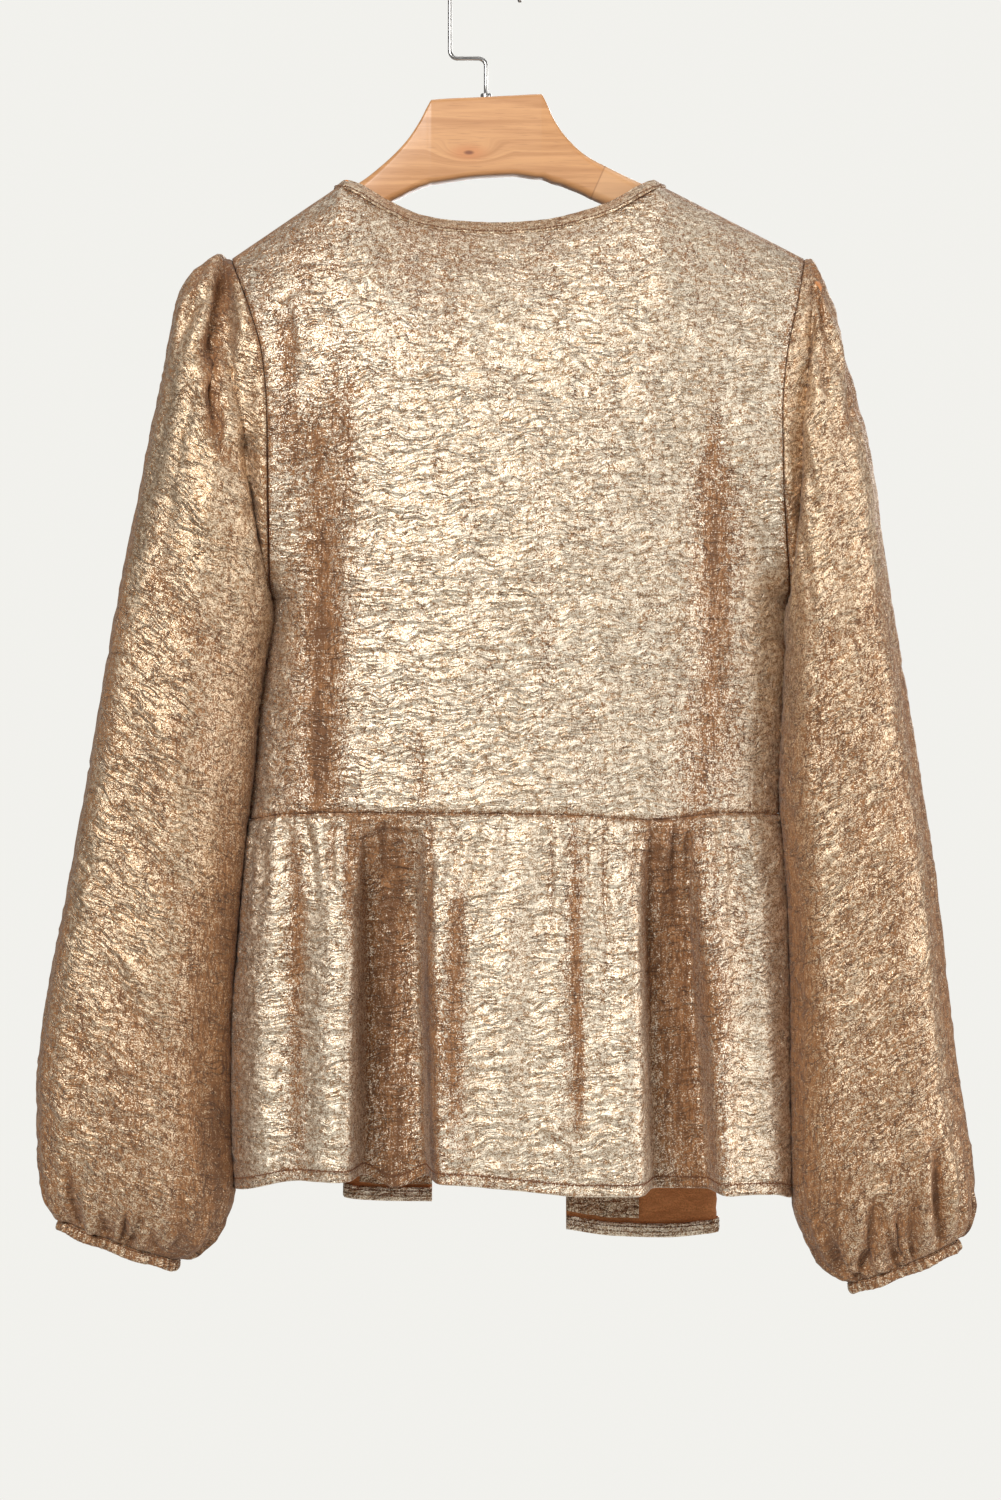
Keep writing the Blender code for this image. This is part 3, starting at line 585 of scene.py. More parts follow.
def stitches(name, places, across, outward, finish, zigzag=0.0, thick=0.38):
    """A row of threads: each is a six-sided spindle from one place to the next, raised in the middle, with
    its ends sunk in the cloth. zigzag moves every second place across the row."""
    shifted = places + across * (zigzag * (-1.0) ** np.arange(len(places)))[:, None]
    start, end, outward = shifted[:-1], shifted[1:], outward[:-1]
    rings, sides = 5, 6
    share = np.linspace(0.06, 0.94, rings)[:, None]
    lift = outward[:, None] * (np.sin(math.pi * share) * 0.34 - 0.12)
    middle = start[:, None] + (end - start)[:, None] * share + lift
    radius = thick * np.sin(math.pi * np.linspace(0.12, 0.88, rings)) ** 0.6
    ring = spokes(unit(np.cross(unit(end - start), outward)), outward, sides)
    points = middle[:, :, None] + ring[:, None] * radius[:, None, None]
    one = capped(rings, sides, 1)
    firsts = range(0, len(start) * rings * sides, rings * sides)
    faces = [[first + corner for corner in face] for first in firsts for face in one]
    return mesh_of(name, points, faces, [finish])


def even_line(line, pitch, *others):
    """A line of points, and others that go with it, at equal distances of about pitch."""
    run = run_of(line)
    at = np.linspace(0, run[-1], max(2, int(run[-1] / pitch)) + 1)
    return [np.stack([np.interp(at, run, v[:, k]) for k in range(3)], axis=-1) for v in (line, *others)]


def seam_line(name, points, row, out, finish, pitch=2.6, zigzag=0.0, lift=CLOTH / 2, closed=False,
              thick=0.38):
    """Stitches along one row of a grid, on the side that out gives."""
    outward = normals(points, out, closed)[row]
    down = unit(np.gradient(points, axis=0))[row]
    line = points[row] + outward * lift
    if closed:
        line, down, outward = (np.concatenate([v, v[:1]]) for v in (line, down, outward))
    line, across, outward = even_line(line, pitch, down, outward)
    placed(stitches(name, line, across, outward, finish, zigzag, thick), "trim_cloth")


# Creases on the bodice, seen from the back: long soft ones under the shoulders and at the armholes
BACK_CREASES = table("""
x0 down0 x1 down1 bend width height
-126 238 -122 274 1 2.2 -2
-101 300 -106 560 6 13 -2.6
-124 290 -122 540 -4 9 1.6
-84 330 -80 565 5 12 1.6
141 300 146 566 -5 11 -2.2
122 340 121 566 -3 12 1.5
163 250 166 500 4 9 1.4
-130 236 -119 300 5 5 -1.8
-122 236 -104 292 5 5 1.2
-148 262 -118 345 8 6 1
170 240 150 322 -7 6 -1.5
-90 200 -60 262 6 9 -0.9
98 196 78 270 -7 9 -0.9
-40 210 45 226 -5 8 -0.8
-60 262 30 250 7 7 0.9
-118 395 -60 372 4 4 -0.9
-96 352 -34 372 5 4 0.8
-128 452 -88 440 3 3.5 -0.9
-60 470 25 452 -5 4 0.9
10 410 82 424 4 4 -0.8
64 505 132 488 -4 4 0.8
-88 520 -20 534 4 4 -0.9
-40 556 60 540 5 4 0.8
150 420 182 398 3 3.5 -0.8
152 520 180 506 3 3.5 -0.9
""")
# On the front: folds that fall from the neckline's V and from the armholes
FRONT_CREASES = table("""
x0 down0 x1 down1 bend width height
-100 250 -96 560 7 12 -2.4
-72 300 -60 566 -6 12 1.8
116 240 120 560 -7 12 -2.2
90 310 80 566 5 12 1.7
-126 300 -128 520 4 8 1.3
156 300 152 520 -4 8 1.2
-88 180 -40 292 8 7 -1.3
104 182 56 292 -8 7 -1.3
-142 300 -60 372 9 5 -1.2
182 310 90 380 -9 5 -1.2
-30 300 -14 430 5 7 1.1
44 300 30 440 -5 7 1.1
-70 452 -16 440 3 4 -0.9
30 486 110 470 4 4 0.8
-118 500 -64 516 -3 4 0.8
96 530 150 540 3 4 -0.8
""")
# Small tucks that the gathering leaves under the waist seam; each starts above the seam's line
BACK_TUCKS = table("""
x0 down0 x1 down1 bend width height
-146 556 -148 596 1 2 -1.6
-131 552 -133 590 0 1.8 -1.3
-117 558 -116 585 0 1.6 -1.2
-96 548 -99 625 2 2.4 -2.8
-85 552 -87 640 2 2.2 -3
-81.5 552 -82 600 1 1.7 1.6
-64 550 -67 630 1 2.3 -2.6
-50 554 -51 610 0 1.9 1.9
-33 548 -36 655 2 2.5 -3.2
-27 552 -20 600 -1 2 -1.6
-12 556 -10 590 0 1.8 -1.2
12 556 12 588 0 1.8 -1.2
39 550 37 650 -2 2.4 -2.6
46 556 47 618 1 2 1.8
66 552 63 625 1 2.1 -2.3
75 548 78 668 3 2.5 -3.2
94 550 92 640 1 2.2 -2.6
105 550 104 655 1 2.4 -3
110 556 112 612 0 1.7 1.6
119 552 122 640 2 2.2 -2.6
127 552 130 606 1 1.9 -1.9
141 556 143 596 0 1.9 1.6
154 552 158 615 2 2.1 -2
169 556 172 592 1 1.8 -1.4
""")
# Long soft folds and short slanting creases lower on the peplum
BACK_PEPLUM_CREASES = table("""
x0 down0 x1 down1 bend width height
-118 590 -122 800 4 9 -1.8
-98 600 -100 800 -3 8 1.8
-140 600 -146 790 3 7 1.6
-18 600 -14 805 5 9 -1.7
2 620 6 805 -4 9 1.3
52 590 58 805 3 7 -2.2
70 600 74 805 3 8 1.6
158 600 164 805 3 8 -1.2
-150 665 -112 655 3 3.5 -1
-142 700 -96 682 4 3.5 1.1
-128 742 -92 728 3 3.5 -1
-12 690 30 668 4 4 1.1
-16 735 44 716 5 4 -1.1
-28 760 20 786 5 4 -1.1
16 748 52 778 -4 4 1
62 690 92 676 2 3.5 -1
60 760 96 742 3 4 1
148 690 190 678 3 3.5 1
150 742 192 730 3 4 -1
""")
FRONT_PEPLUM_CREASES = table("""
x0 down0 x1 down1 bend width height
-130 548 -133 640 2 2.6 -2.4
-112 552 -114 620 1 2.2 -2
-96 550 -94 650 -2 2.5 -2.6
-74 552 -72 630 1 2.3 -2.3
-52 550 -54 660 2 2.5 -2.4
-34 552 -34 620 1 2.2 -1.9
-15 554 -18 610 1 2.1 -1.7
30 552 34 620 -1 2.2 -1.9
52 550 56 650 2 2.5 -2.5
74 552 76 630 1 2.3 -2.1
96 550 100 655 2 2.5 -2.6
120 552 124 630 -1 2.2 -2.1
146 550 152 640 2 2.5 -2.3
170 554 174 610 1 2.1 -1.7
-80 620 -66 815 5 9 -1.8
-124 600 -138 800 -5 8 1.6
80 620 96 836 5 9 1.8
130 600 158 810 -5 8 -1.6
-70 700 -44 688 3 3.5 -0.9
60 720 100 704 3 3.5 0.9
66 786 120 770 4 4 -0.9
150 700 184 690 3 3.5 0.9
""")
# The first rows are the cap's pleats, and then come slanting drags and the pulls above the elastic
SLEEVE_LEFT_CREASES = table("""
x0 down0 x1 down1 bend width height
-163 190 -166 345 9 5.5 -10
-151 226 -157 335 3 5.5 5.5
-172 196 -180 262 2 4 3.4
-181 200 -192 262 2 3.6 -2.6
-178 255 -168 322 4 4.5 -3
-190 225 -198 300 3 5 2.2
-196 280 -150 350 6 6 -1.8
-206 330 -152 402 7 7 1.8
-214 400 -156 470 8 8 -1.9
-226 470 -166 560 8 9 1.9
-240 540 -172 640 9 9 -1.8
-230 360 -246 560 -5 9 1.5
-262 600 -196 690 8 8 1.6
-250 640 -180 735 9 7 -1.5
-276 680 -222 745 6 6 -1.5
-250 720 -186 790 7 6 1.3
-281 742 -240 780 4 5 1.2
-268 782 -261 852 2 4.2 -6.5
-276 800 -273 845 1 3 2.4
-257 800 -252 848 2 3.4 3
-246 816 -243 858 1 3.4 -5
-232 820 -231 864 0 3.2 -5
-224 818 -222 860 1 3 2.4
-214 820 -212 866 1 3 -3.2
-196 790 -205 862 -4 4 -2.6
-186 760 -190 840 -3 4 2.2
""")
SLEEVE_RIGHT_CREASES = table("""
x0 down0 x1 down1 bend width height
208 196 214 300 -3 4 -4.5
200 240 200 350 -3 4.5 3
216 214 226 300 -3 4 3
224 235 232 320 -2 4 -2.4
210 330 244 290 5 6 -1.8
206 400 250 350 6 6.5 1.8
206 470 256 410 7 7 -1.8
208 540 262 476 7 7 1.8
212 590 272 530 7 6 -1.6
214 632 282 570 7 5.5 1.6
218 660 288 608 6 5 -1.5
214 694 290 640 6 5 1.5
220 716 296 672 6 4.5 -1.4
224 742 300 700 6 4.5 1.3
226 768 304 728 6 4.5 -1.3
232 792 308 756 5 4 1.2
286 770 292 846 2 4 -5.5
297 778 300 838 1 3.2 2.6
280 780 284 850 2 3.4 2.6
272 800 274 860 1 3.4 -4.5
262 812 263 866 0 3.6 -6.5
254 826 252 866 0 2.8 2.4
246 806 238 876 -2 3.8 -6
236 806 231 870 -2 3.2 2.6
224 790 228 866 4 4 -2.4
""")
BODICE_STREAKS = table("""
centre lean top bottom half strength
-108 -4 310 575 24 0.7
-107 3 430 575 10 0.35
-92 4 280 470 7 0.35
-118 0 180 330 34 0.3
-40 0 150 300 30 0.16
95 0 150 330 30 0.06
146 -6 340 575 19 0.62
141 3 290 440 8 0.4
-44 3 520 575 6 0.6
-148 0 470 575 6 0.55
-128 0 255 330 7 0.3
""")
# Its first two rows are painted shade in the back's two deep folds; the other rows are worn streaks.
PEPLUM_STREAKS_AND_FOLD_SHADE = table("""
centre lean top bottom half strength
-65 3 560 840 19 1.35
114 12 560 840 17 1.15
139 6 560 700 12 0.38
143 2 670 815 8 0.4
-122 -2 580 660 7 0.9
-122 3 650 790 5 0.55
-19 -3 615 745 6 0.9
55 3 565 760 3.5 0.95
-159 -4 575 815 6 0.6
-39 2 560 700 3 0.6
-37 3 665 830 6 1.1
104 2 560 680 8 0.5
160 4 590 680 4 0.35
-88 0 560 620 6 0.5
""")
FRONT_STREAKS = table("""
centre lean top bottom half strength
-105 4 330 575 13 0.5
128 -4 300 575 13 0.5
-96 0 590 830 10 0.45
150 2 600 850 10 0.45
-52 3 400 575 6 0.35
66 -3 640 860 7 0.4
""")
CENTRE_SHARE = float(top_share(CENTRE_X))
LEFT_NECK_SHARE = float(top_share(LEFT_NECK_X))
RIGHT_NECK_SHARE = float(top_share(RIGHT_NECK_X))
BODICE_ROWS, ARMHOLE_ROWS, LAST_MIX_ROW = 14, 9, 8  # rows of the solids, which set how the finer ones run


def bodice_grid(stops, counts, face, columns, rows):
    """Points of a bodice panel. Rows run from the top edge to the waist seam. Columns are crowded at the
    neck points above, and at the side seams below."""
    place = np.linspace(0, 1, columns)
    crowd = [0.0]
    for k, count in enumerate(counts):
        crowd.append(crowd[-1] + count / sum(counts))
    top = np.interp(place, crowd, stops)
    low = stops[0] + (stops[-1] - stops[0]) * (crowded(place, stops, face) + place) / 2
    at = np.linspace(0, BODICE_ROWS, rows)[:, None]
    mix = np.clip(at / LAST_MIX_ROW, 0, 1) ** 2
    share = top * (1 - mix) + low * mix
    edge = top_down(top, face)[None]
    turn = (1 - np.cos(math.pi * np.clip(at / ARMHOLE_ROWS, 0, 1))) / 2
    below = np.clip((at - ARMHOLE_ROWS) / (BODICE_ROWS - ARMHOLE_ROWS), 0, 1)
    waist = read(WAIST_SEAM, "share", "down", share[-1])[None]
    down = edge + (ARMPIT_DOWN - edge) * turn + (waist - ARMPIT_DOWN) * below
    return body(share, down, face)


def crowded(place, stops, face):
    """Column places that are closer together at a side seam."""
    if face < 0:
        return (1 - np.cos(math.pi * place)) / 2
    if stops[0] == 0:
        return 1 - np.sin(math.pi / 2 * (1 - place))
    return np.sin(math.pi / 2 * place)


def softened(points):
    """Evens out the depth of a grid, with its edges held: below the shoulders by a wide bell-shaped mean
    along each row, and then all over by taking the mean of each point's neighbours again and again."""
    points = points.copy()
    drop, y = points[:1, :, 2] - points[..., 2], points[..., 1]
    reach = y.shape[1] // 4
    bell = np.exp(-((np.arange(-reach, reach + 1) / (0.36 * reach)) ** 2) / 2)
    before, after = 2 * y[:, :1] - y[:, reach:0:-1], 2 * y[:, -1:] - y[:, -2 : -reach - 2 : -1]
    wide = np.array([np.convolve(row, bell / bell.sum(), "valid") for row in np.hstack([before, y, after])])
    points[..., 1] += ease(drop, 1, 26) * (1 - ease(drop, 110, 210)) * (wide - y)
    give = ease(drop, 1, 24)[1:-1, 1:-1]
    for _ in range(SOFTENING_STEPS):
        y = points[..., 1]
        mean = (y[:-2, 1:-1] + y[2:, 1:-1] + y[1:-1, :-2] + y[1:-1, 2:]) / 4
        points[1:-1, 1:-1, 1] += give * (mean - y[1:-1, 1:-1])
    return points


def bodice(name, stops, counts, face, columns, rows, crease_rows, streak_rows, finishes):
    """A bodice panel with its creases and wrinkles, and its lower edge turned in at the waist seam. The
    foil is rubbed in its streaks, at its seams and along its top edge. In the troughs of creases the
    darkening is partly wear and partly painted shade, and the broad darkening below the shoulders is painted
    shade that tones down the key lamp's highlight."""
    points = softened(bodice_grid(stops, counts, face, columns, rows))
    place = np.linspace(0, 1, columns)[None]
    at = np.linspace(0, 1, rows)[:, None]
    calm = ease(at, 0.0, 0.09) * (1 - ease(at, 0.985, 1.0))
    seamed = [edge for edge, end in ((0, 0), (-1, 1)) if stops[edge] == end]
    for edge in seamed:
        calm = calm * ease(np.abs(place + edge), 0, 0.04)
    own = creases(points, crease_rows, face)
    height = own + 0.5 * wrinkles(points, 5, 6.0, 20, 11) + 0.3 * wrinkles(points, -10, 4.2, 11, 29)
    rise = points[..., 2] - points[-1:, :, 2]
    roll = 1.5 * (1 - ease(rise, 0.0, 3.0)) * between(place, 0.03)
    points = points + normals(points, -face) * (height * calm - roll)[..., None]
    x, down = points[..., 0], -points[..., 2]
    wear_and_shade = streaks(points, streak_rows) + crease_wear_and_shade(own) + 0.8 * np.exp(-((rise / 1.8) ** 2))
    for edge in seamed:
        wear_and_shade = wear_and_shade + 0.5 * np.exp(-(((x - x[:, [edge]]) / 2.6) ** 2))
    drop = down - top_down(np.clip(top_share(x), 0, 1), face)
    # Along the top edge the foil is rubbed; the broad term below it is painted shade against the key lamp's
    # highlight on the shoulders.
    wear_and_shade = wear_and_shade + 0.55 * (1 - ease(drop, 3.5, 6.5)) + 0.2 * (1 - ease(drop, 8, 90))
    made = cloth(name, points, finishes, -face, wear_and_shade)
    placed(made, "foil_cloth", name)


def gathered(points, rows_gather, gathers, ripple):
    """Moves each row of points in and out along its plan normal, by a cosine whose pitch and height vary
    along the row."""
    tangent = unit(np.gradient(points[..., :2], axis=1))
    place = np.linspace(0, 1, points.shape[1])
    phase = 2 * math.pi * (gathers * place + 0.55 * np.sin(9 * place) + 0.35 * np.sin(31 * place))
    push = rows_gather[:, None] * (np.cos(phase) * (0.6 + 0.4 * np.sin(17 * place)) * ripple)[None]
    moved = points.copy()
    moved[..., 0] += push * tangent[..., 1]
    moved[..., 1] -= push * tangent[..., 0]
    return moved


def peplum_shares(rows):
    """Shares of the way down a peplum: closer together under the waist seam."""
    return np.linspace(0, 1, rows) ** CROWDING


def peplum_back_grid(columns, rows):
    """The back peplum: at each height an arch from side to side, less its folds, each of which is a trough
    with steep sides and a flat bottom. Columns are at even distances along the cloth."""
    dense = np.linspace(0, 1, 2401)
    share = peplum_shares(rows)[:, None]
    spread, fold = (read(PEPLUM_ROWS, "share", name, share) for name in ("spread", "fold"))
    level = WAIST_DOWN + share * BACK_DROP
    left, right = (read(PEPLUM_SIDES, "down", name, level) for name in ("left", "right"))
    side = np.sin(np.abs(2 * dense - 1) * math.pi / 2)
    across = 0.5 + 0.5 * side * np.sign(2 * dense - 1)
    x = left + across * (right - left)
    waist = WAIST_DEPTH * (1 - side**2.6) ** 0.55
    y = waist + (HEM_DEPTH * (1 - side**3.2) ** 0.6 - waist) * spread
    for waist_x, hem_x, waist_half, hem_half, depth, sharpness in zip(*BACK_FOLDS.values()):
        centre = waist_x + (hem_x - waist_x) * share
        half = waist_half + (hem_half - waist_half) * share
        y = y - fold * depth / (1 + np.abs((x - centre) / half) ** (2 * sharpness))
    steps = np.hypot(np.diff(x, axis=1, prepend=x[:, :1]), np.diff(y, axis=1, prepend=y[:, :1]))
    numbers = np.arange(len(dense))
    even = [np.interp(np.linspace(0, run[-1], columns), run, numbers) for run in np.cumsum(steps, axis=1)]
    x, y, across = (
        np.array([np.interp(at, numbers, row) for at, row in zip(even, values)])
        for values in (x, y, np.broadcast_to(across, x.shape))
    )
    top = read(WAIST_SEAM, "share", "down", across) + PEPLUM_START
    bottom = read(BACK_HEM, "x", "down", x)
    points = stack(x, -(FOLD_GAP + y), top + (bottom - top) * share)
    ripple = np.sin(math.pi * np.linspace(0, 1, columns)) ** 0.3
    return gathered(points, read(PEPLUM_ROWS, "share", "gather", share[:, 0]), GATHERS_BACK, ripple)


def peplum_front_grid(folds, columns, rows):
    """A front peplum from the side seam to the open edge: straight lines from the waist seam's curve to
    the hem's curve, whose folds open on the way down."""
    run = run_of(np.column_stack([folds["x"], folds["y"]]))
    at = np.linspace(0, 1, columns) * run[-1]
    names = ("x", "y", "down", "waist_share")
    hem_x, hem_y, hem_down, waist_share = (smooth(at, run, folds[name]) for name in names)
    ripple = np.interp(at, run, folds["ripple"])
    waist_down = read(WAIST_SEAM, "share", "down", waist_share)
    waist = body(waist_share, waist_down, 1)
    share = peplum_shares(rows)[:, None]
    spread, fold = (read(PEPLUM_ROWS, "share", name, share) for name in ("spread", "fold"))
    x = waist[:, 0] + (hem_x - waist[:, 0]) * spread
    y = waist[:, 1] + (hem_y + FOLD_GAP - waist[:, 1]) * (spread + fold) / 2
    top = waist_down + PEPLUM_START
    points = stack(x, y, top + (hem_down - top) * share)
    return gathered(points, read(PEPLUM_ROWS, "share", "gather", share[:, 0]), GATHERS_FRONT, ripple)


def peplum(name, points, out, crease_tables, face, streak_rows, finishes):
    """A peplum with its creases and wrinkles, its top edge sunk into the waist seam, and its hem puckered
    and turned. The foil is rubbed in its streaks, at both edges and along the hem's stitches. In the troughs
    of creases the darkening is partly wear and partly painted shade, and the back's streak table paints shade
    into its two deep folds."""
    rows, columns = points.shape[:2]
    share = peplum_shares(rows)[:, None]
    place = np.linspace(0, 1, columns)[None]
    below, above = share * BACK_DROP, (1 - share) * BACK_DROP
    own = sum(creases(points, tucks, face) for tucks in crease_tables)
    height = 0.8 * wrinkles(points, 7, 7.0, 20, 41) + 0.45 * wrinkles(points, -12, 4.6, 12, 59) + own
    calm = ease(share, 0.0, 0.014) * (1 - ease(share, 0.955, 0.985)) * between(place, 0.02)
    sunk = 1.7 * (1 - ease(below, 0.2, 3.4)) * between(place, 0.025)
    stitched = np.exp(-(((above - HEM_STITCH) / 1.3) ** 2))
    puckers = 0.3 * ease(share, 0.97, 1) * np.sin(place * columns / 1.9 + 3 * np.sin(place * 40))
    height = height * calm - sunk - 0.28 * stitched + puckers
    points = points + normals(points, out) * height[..., None]
    whole = turned_hem(points, out)
    wear_and_shade = streaks(whole, streak_rows)
    wear_and_shade[:rows] += 0.5 * np.exp(-((above / 1.4) ** 2)) + 0.8 * np.exp(-((below / 1.8) ** 2))
    wear_and_shade[:rows] += 0.75 * stitched + crease_wear_and_shade(own) * ease(below, 1, 7)
    made = cloth(name, whole, finishes, out, wear_and_shade)
    placed(made, "foil_cloth", name)
    return points


def hem_threads(name, points, out, finish, inside_rows=()):
    """The hem's stitches: one zigzag row outside, and straight rows on the turned-in part, each of which
    has its height above the hem's edge and its finish."""
    row = int(round((1 - HEM_STITCH / BACK_DROP) ** (1 / CROWDING) * (len(points) - 1)))
    seam_line(f"{name}_hem_stitches", points, row, out, finish, pitch=2.4, zigzag=0.35, thick=0.5)
    down, inward = unit(np.gradient(points, axis=0))[-1], -normals(points, out)[-1]
    for k, (height, tone) in enumerate(inside_rows):
        line = points[-1] - down * height + inward * (HEM_FOLD * 2 + CLOTH / 2)
        line, across, outward = even_line(line, 2.4, down, inward)
        placed(stitches(f"{name}_hem_inside_stitches_{k}", line, across, outward, tone, 0.15), "trim_cloth")


def sleeve_start(side, columns):
    """The sleeve's first ring: the panels' edges round the armhole, moved out by the seam gap."""
    turn = np.arange(columns) / columns
    back = turn <= 0.5
    at = np.where(back, ARMHOLE_ROWS * (1 - 2 * turn), ARMHOLE_ROWS * (2 * turn - 1))
    low = (1 - np.cos(math.pi * at / ARMHOLE_ROWS)) / 2
    down = SHOULDER_TIP_DOWN + (ARMPIT_DOWN - SHOULDER_TIP_DOWN) * low
    share = 0.0 if side < 0 else 1.0
    ring = np.where(back[:, None], body(share, down, -1), body(share, down, 1))
    ring[:, 0] += side * read(SEAM_CLEAR, "share", "out", low)
    return ring


def sleeve_rings(rows, side, columns):
    """The rings that the sleeve is drawn through. Each is an oval between its inner and outer points, with
    gathers that are kept to the cap at the top and go all round at the cuff, and long soft folds."""
    start = sleeve_start(side, columns)
    rings = [start, start + np.array([side * 2.6, 0, 0])]
    turn = circle(columns)
    cosine, sine = np.cos(turn), np.sin(turn)
    gathers = -np.cos(18 * turn) * (0.7 + 0.3 * np.sin(13 * turn))
    cap = np.clip(1.6 - 1.6 * np.maximum(cosine, 0) ** 2, 0, 1)
    soft = 1 - ease(np.abs(cosine), 0.85, 0.99)
    last = len(rows["depth"]) - 1
    for k, (outer_x, outer_down, inner_x, inner_down, depth, gather, fold) in enumerate(zip(*rows.values())):
        inner, outer = np.array([inner_x, -inner_down]), np.array([outer_x, -outer_down])
        late = k / last
        all_round = np.clip((late - 0.6) / 0.2, 0, 1)
        swell = gather * gathers * (cap * (1 - all_round) + all_round)
        swell = swell + fold * np.cos(5 * turn + side + 1.5 * late)
        half = np.linalg.norm(inner - outer) / 2
        along = cosine * (1 + np.minimum(swell, 3) / half * soft)
        place = (inner + outer) / 2 + along[:, None] * (inner - outer) / 2
        y = -(depth + swell) * np.abs(sine) ** OVAL * np.sign(sine)
        rings.append(np.column_stack([place[:, 0], y, place[:, 1]]))
    return np.array(rings)


def sleeve(name, rows, side, tilt, own_creases, finishes, columns=154, count=242):
    """A sleeve: a smooth tube through its rings, with creases on the back, like ones a little lower on the
    front, and crepe wrinkles that slant as the cloth hangs. Above the elastic it is pulled into ridges: a
    folded sine round the sleeve, of uneven pitch and height, that starts unevenly. The foil is rubbed in
    patches, and the cloth is browner along the outer side and towards the cuff.
    In the troughs of creases the darkening is partly wear and partly painted shade; at the armhole's seam and
    on the lower inner side, against the body, it is painted shade."""
    rings = sleeve_rings(rows, side, columns)
    steps = np.linalg.norm(np.diff(rings.mean(axis=1), axis=0), axis=1) + 0.5
    run = np.concatenate([[0], np.cumsum(steps)])
    share = np.linspace(0, 1, count)
    points = smooth(run[-1] * (share - 0.06 * np.sin(2 * math.pi * share)), run, rings)
    share = share[:, None]
    outward = normals(points, side, True)
    down0, down1 = (own_creases[name] + FRONT_CREASE_DROP for name in ("down0", "down1"))
    lower = dict(own_creases, down0=down0, down1=down1)
    turn = circle(columns)
    pull = 1 - 2 * np.sqrt(np.sin(14 * turn + 1.9 * np.sin(4 * turn) + side) ** 2 + 0.02)
    pull = pull * (0.75 + 0.5 * np.sin(6 * turn + 2) * np.sin(3 * turn))
    start = 0.93 - 0.035 * np.sin(9 * turn + 1) - 0.02 * np.sin(5 * turn)
    reach = ease(share, start, start + 0.05)
    own = creases(points, own_creases, -1) + 0.85 * creases(points, lower, 1) + 2.6 * pull * reach
    height = own + 0.6 * wrinkles(points, tilt, 6.0, 26, 71) + 0.26 * wrinkles(points, tilt - 12, 3.6, 12, 83)
    calm = ease(share, 0.0, 0.03) * (1 - ease(share, 0.985, 1.0))
    sunk = 1.0 - ease(share, 0.0, 0.006) + 1.3 * ease(share, 0.988, 1.0)
    points = points + outward * (height * calm - sunk)[..., None]
    x, y, down = points[..., 0], points[..., 1], -points[..., 2]
    patch = noise(x / 34, y / 30, down / 90, 97) + 0.6 * noise(x / 13, y / 13, down / 40, 98)
    # The term at the armhole is painted shade in the seam's groove; crease troughs are partly wear, partly
    # painted shade.
    wear_and_shade = 0.08 + 0.35 * np.clip(patch, 0, 1) + crease_wear_and_shade(own) + 0.4 * (1 - ease(share, 0.0, 0.02))
    wear_and_shade = wear_and_shade + 0.55 * ease(-np.cos(turn), 0.72, 1.0)
    # Darker on the lower inner side, against the body: painted shade.
    wear_and_shade = wear_and_shade + 0.65 * ease(np.cos(turn), 0.45, 0.95) * ease(down, 420, 640)
    wear_and_shade = wear_and_shade + 0.16 * ease(down, 330, 460) + 0.2 * ease(down, 600, 800)
    made = cloth(name, points, finishes, side, wear_and_shade, closed=True)
    placed(made, "sleeve_cloth", name)


CUFF_PATH = table("""
height out crinkle
-1 -2.2 0.3
0 -1.4 0.7
0.8 -0.9 1
2 -0.5 1.1
3.4 -0.3 1.1
4.8 -0.4 1.1
5.7 -0.8 1
6.1 -1.4 0.9
5.7 -2 0.8
4.4 -2.4 0.7
2.4 -2.6 0.6
0.6 -2.8 0.5
""")


def cuff(name, rows, side, finishes, brown_thread, columns=320):
    """The elastic casing: a tube along CUFF_PATH, which starts inside the sleeve's end, bulges, turns in
    below and goes up inside. Its crinkles are a folded sine with sharp ridges, of uneven pitch and height,
    and between them the foil is thinner and the cloth darker: painted shade in the troughs."""
    inner = np.array([rows["inner_x"][-1], -rows["inner_down"][-1]])
    outer = np.array([rows["outer_x"][-1], -rows["outer_down"][-1]])
    half = np.linalg.norm(inner - outer) / 2
    across = (inner - outer) / (2 * half)
    away = np.array([across[1], -across[0]])
    away = away if away[1] < 0 else -away
    turn = circle(columns)
    crinkle = np.sin(20 * turn + 2.6 * np.sin(3 * turn) + 1.3 * np.sin(8 * turn))
    crinkle = 1 - 2 * np.sqrt(crinkle**2 + 0.01)
    crinkle = crinkle * (0.75 + 0.35 * np.sin(11 * turn) * np.sin(4 * turn + 1))
    slant = 0.8 * np.sin(7 * turn + side)
    rings = []
    for height, out, depth in zip(*CUFF_PATH.values()):
        grow = out + depth * crinkle
        low = CUFF_GAP + height + slant * (0.4 + 0.05 * height)
        place = (inner + outer) / 2 + low[:, None] * away + (np.cos(turn) * (half + grow))[:, None] * across
        y = -(CUFF_DEPTH + grow) * np.abs(np.sin(turn)) ** OVAL * np.sign(np.sin(turn))
        rings.append(np.column_stack([place[:, 0], y, place[:, 1]]))
    points = smooth(np.linspace(0, len(rings) - 1, CUFF_RINGS), np.arange(len(rings)), np.array(rings))
    # The value rises between the crinkles: painted shade in their troughs.
    made = cloth(name, points, finishes, side, 0.62 - 0.5 * crinkle[None], closed=True, thick=TRIM)
    placed(made, "trim_cloth", name)
    seam_line(f"{name}_stitches", points, 3, side, brown_thread, pitch=2.2, closed=True)


def surface_point(share, down, face, lift):
    """Points of a bodice moved out along its normal."""
    step = 0.002
    share = np.clip(share, step, 1 - step)
    across = body(share + step, down, face) - body(share - step, down, face)
    below = body(share, down + 1.5, face) - body(share, down + 0.3, face)
    return body(share, down, face) + unit(np.cross(below, across)) * -face * lift


